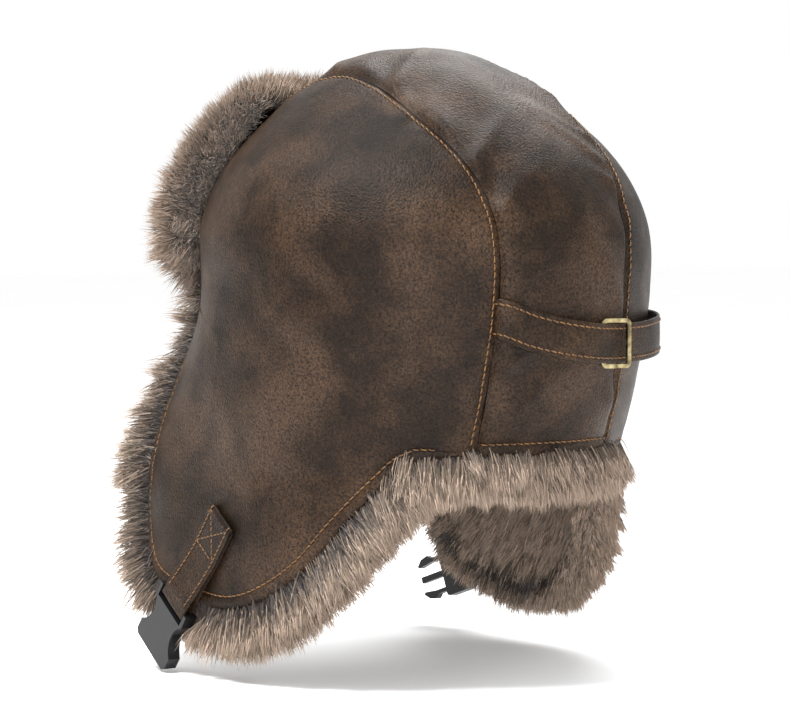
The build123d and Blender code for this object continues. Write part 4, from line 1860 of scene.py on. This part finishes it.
# ---------------------------------------------------------------- studio
@dataclass
class Studio:
    """A pale floor, soft lights all round and the camera."""

    azimuth: float = 142.0
    elevation: float = 2.5
    distance: float = 1.40
    aim: tuple[float, float, float] = (0.0111, -0.0087, 0.0515)
    lens: float = 137.5
    floor_reach: float = 9.0
    floor_cloud_mm: float = 166.7
    light_distance: float = 1.5

    def outward(self, azimuth: float, elevation: float) -> np.ndarray:
        """Give the direction from the hat towards a place round it.

        Args:
            azimuth: the place round the hat, in degrees from the front.
            elevation: its height, in degrees.

        Returns:
            The direction.
        """
        a, e = math.radians(azimuth), math.radians(elevation)
        return np.array([math.sin(a) * math.cos(e), -math.cos(a) * math.cos(e), math.sin(e)])

    def light(self, name: str, azimuth: float, elevation: float, size: float, power: float) -> None:
        """Hang one soft panel light that faces the hat.

        Args:
            name: the light's name.
            azimuth: where it hangs round the hat, in degrees from the front.
            elevation: how high it hangs, in degrees.
            size: its diameter in metres.
            power: its power in watts.
        """
        data = bpy.data.lights.new(name, "AREA")
        data.shape = "DISK"
        data.size = size
        data.energy = power
        lamp = bpy.data.objects.new(name, data)
        bpy.context.scene.collection.objects.link(lamp)
        place = Vector(self.outward(azimuth, elevation) * self.light_distance) + Vector(self.aim)
        lamp.location = place
        lamp.rotation_euler = (Vector(self.aim) - place).to_track_quat("-Z", "Y").to_euler()

    def build(self) -> None:
        """Build the floor, the lights and the camera."""
        low = min(CAD_BOX[0][2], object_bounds()[0][2]) - 0.0015
        reach = self.floor_reach
        corners = [(-reach, -reach, low), (reach, -reach, low), (reach, reach, low), (-reach, reach, low)]
        # Matt white painted board: nearly even, with a faint cloudiness that keeps its edge from showing.
        material, tree, shader = new_material("matt_white_painted_board", {"Roughness": 0.9})
        settings = {"Scale": 1 / (self.floor_cloud_mm * MM), "Detail": 2.0}
        place = add_node(tree, "ShaderNodeTexCoord", {}).outputs["Object"]
        clouds = add_node(tree, "ShaderNodeTexNoise", settings, {"Vector": place}).outputs["Fac"]
        stops = ((0.0, "#fcfcfc"), (1.0, "#ffffff"))
        tone = add_node(tree, "ShaderNodeValToRGB", {"stops": stops}, {"Fac": clouds})
        tree.links.new(tone.outputs["Color"], shader.inputs["Base Color"])
        floor = make_mesh("studio_floor", np.array(corners), [(0, 1, 2, 3)], [material])
        floor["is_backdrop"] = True
        world = bpy.data.worlds.new("studio_air")
        world.use_nodes = True
        world.node_tree.nodes["Background"].inputs["Color"].default_value = (1, 1, 1, 1)
        world.node_tree.nodes["Background"].inputs["Strength"].default_value = 1.0
        bpy.context.scene.world = world
        self.light("key", self.azimuth - 48, 60, 0.5, 38)
        self.light("fill", self.azimuth + 50, 25, 1.1, 3)
        self.light("rim", self.azimuth + 165, 50, 0.9, 14)
        self.light("low_fill", self.azimuth + 3, 0.5, 0.5, 13)
        bpy.context.scene.view_settings.view_transform = "Standard"
        data = bpy.data.cameras.new("camera")
        data.lens = self.lens
        data.sensor_width = 36.0
        data.clip_start = 0.01
        camera = bpy.data.objects.new("camera", data)
        bpy.context.scene.collection.objects.link(camera)
        place = Vector(self.outward(self.azimuth, self.elevation) * self.distance) + Vector(self.aim)
        camera.location = place
        camera.rotation_euler = (Vector(self.aim) - place).to_track_quat("-Z", "Y").to_euler()
        bpy.context.scene.camera = camera


def main() -> None:
    """Build the hat, piece by piece, and the studio."""
    logging.basicConfig(level=logging.INFO, format="%(message)s")
    wardrobe = Wardrobe()
    form = CrownForm()
    CentrePanel(form, wardrobe).build()
    left_strap = ChinStrap(Side.LEFT, wardrobe, math.radians(38), (-0.022, -0.021), free=0.028)
    right_strap = ChinStrap(Side.RIGHT, wardrobe, math.radians(68), (-0.020, -0.032), free=0.061)
    left_panel = SidePanel(Side.LEFT, form, wardrobe)
    right_panel = SidePanel(Side.RIGHT, form, wardrobe)
    left_panel.build()
    right_panel.build()
    FlapFur(left_panel, wardrobe, left_strap).build()
    FlapFur(right_panel, wardrobe, right_strap, fringe_length=0.0170, beyond=0.55).build()
    Lining(form, wardrobe).build()
    NapeFur(form, wardrobe).build()
    Visor(wardrobe).build()
    RearStrap(wardrobe).build()
    left_strap.build()
    right_strap.build()
    Buckle(wardrobe).build()
    Studio().build()
    both = {"cad": CAD_BOX, "visual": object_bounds()}
    boxes = {name: [list(map(float, corner)) for corner in box] for name, box in both.items()}


if __name__ == "__main__":
    main()
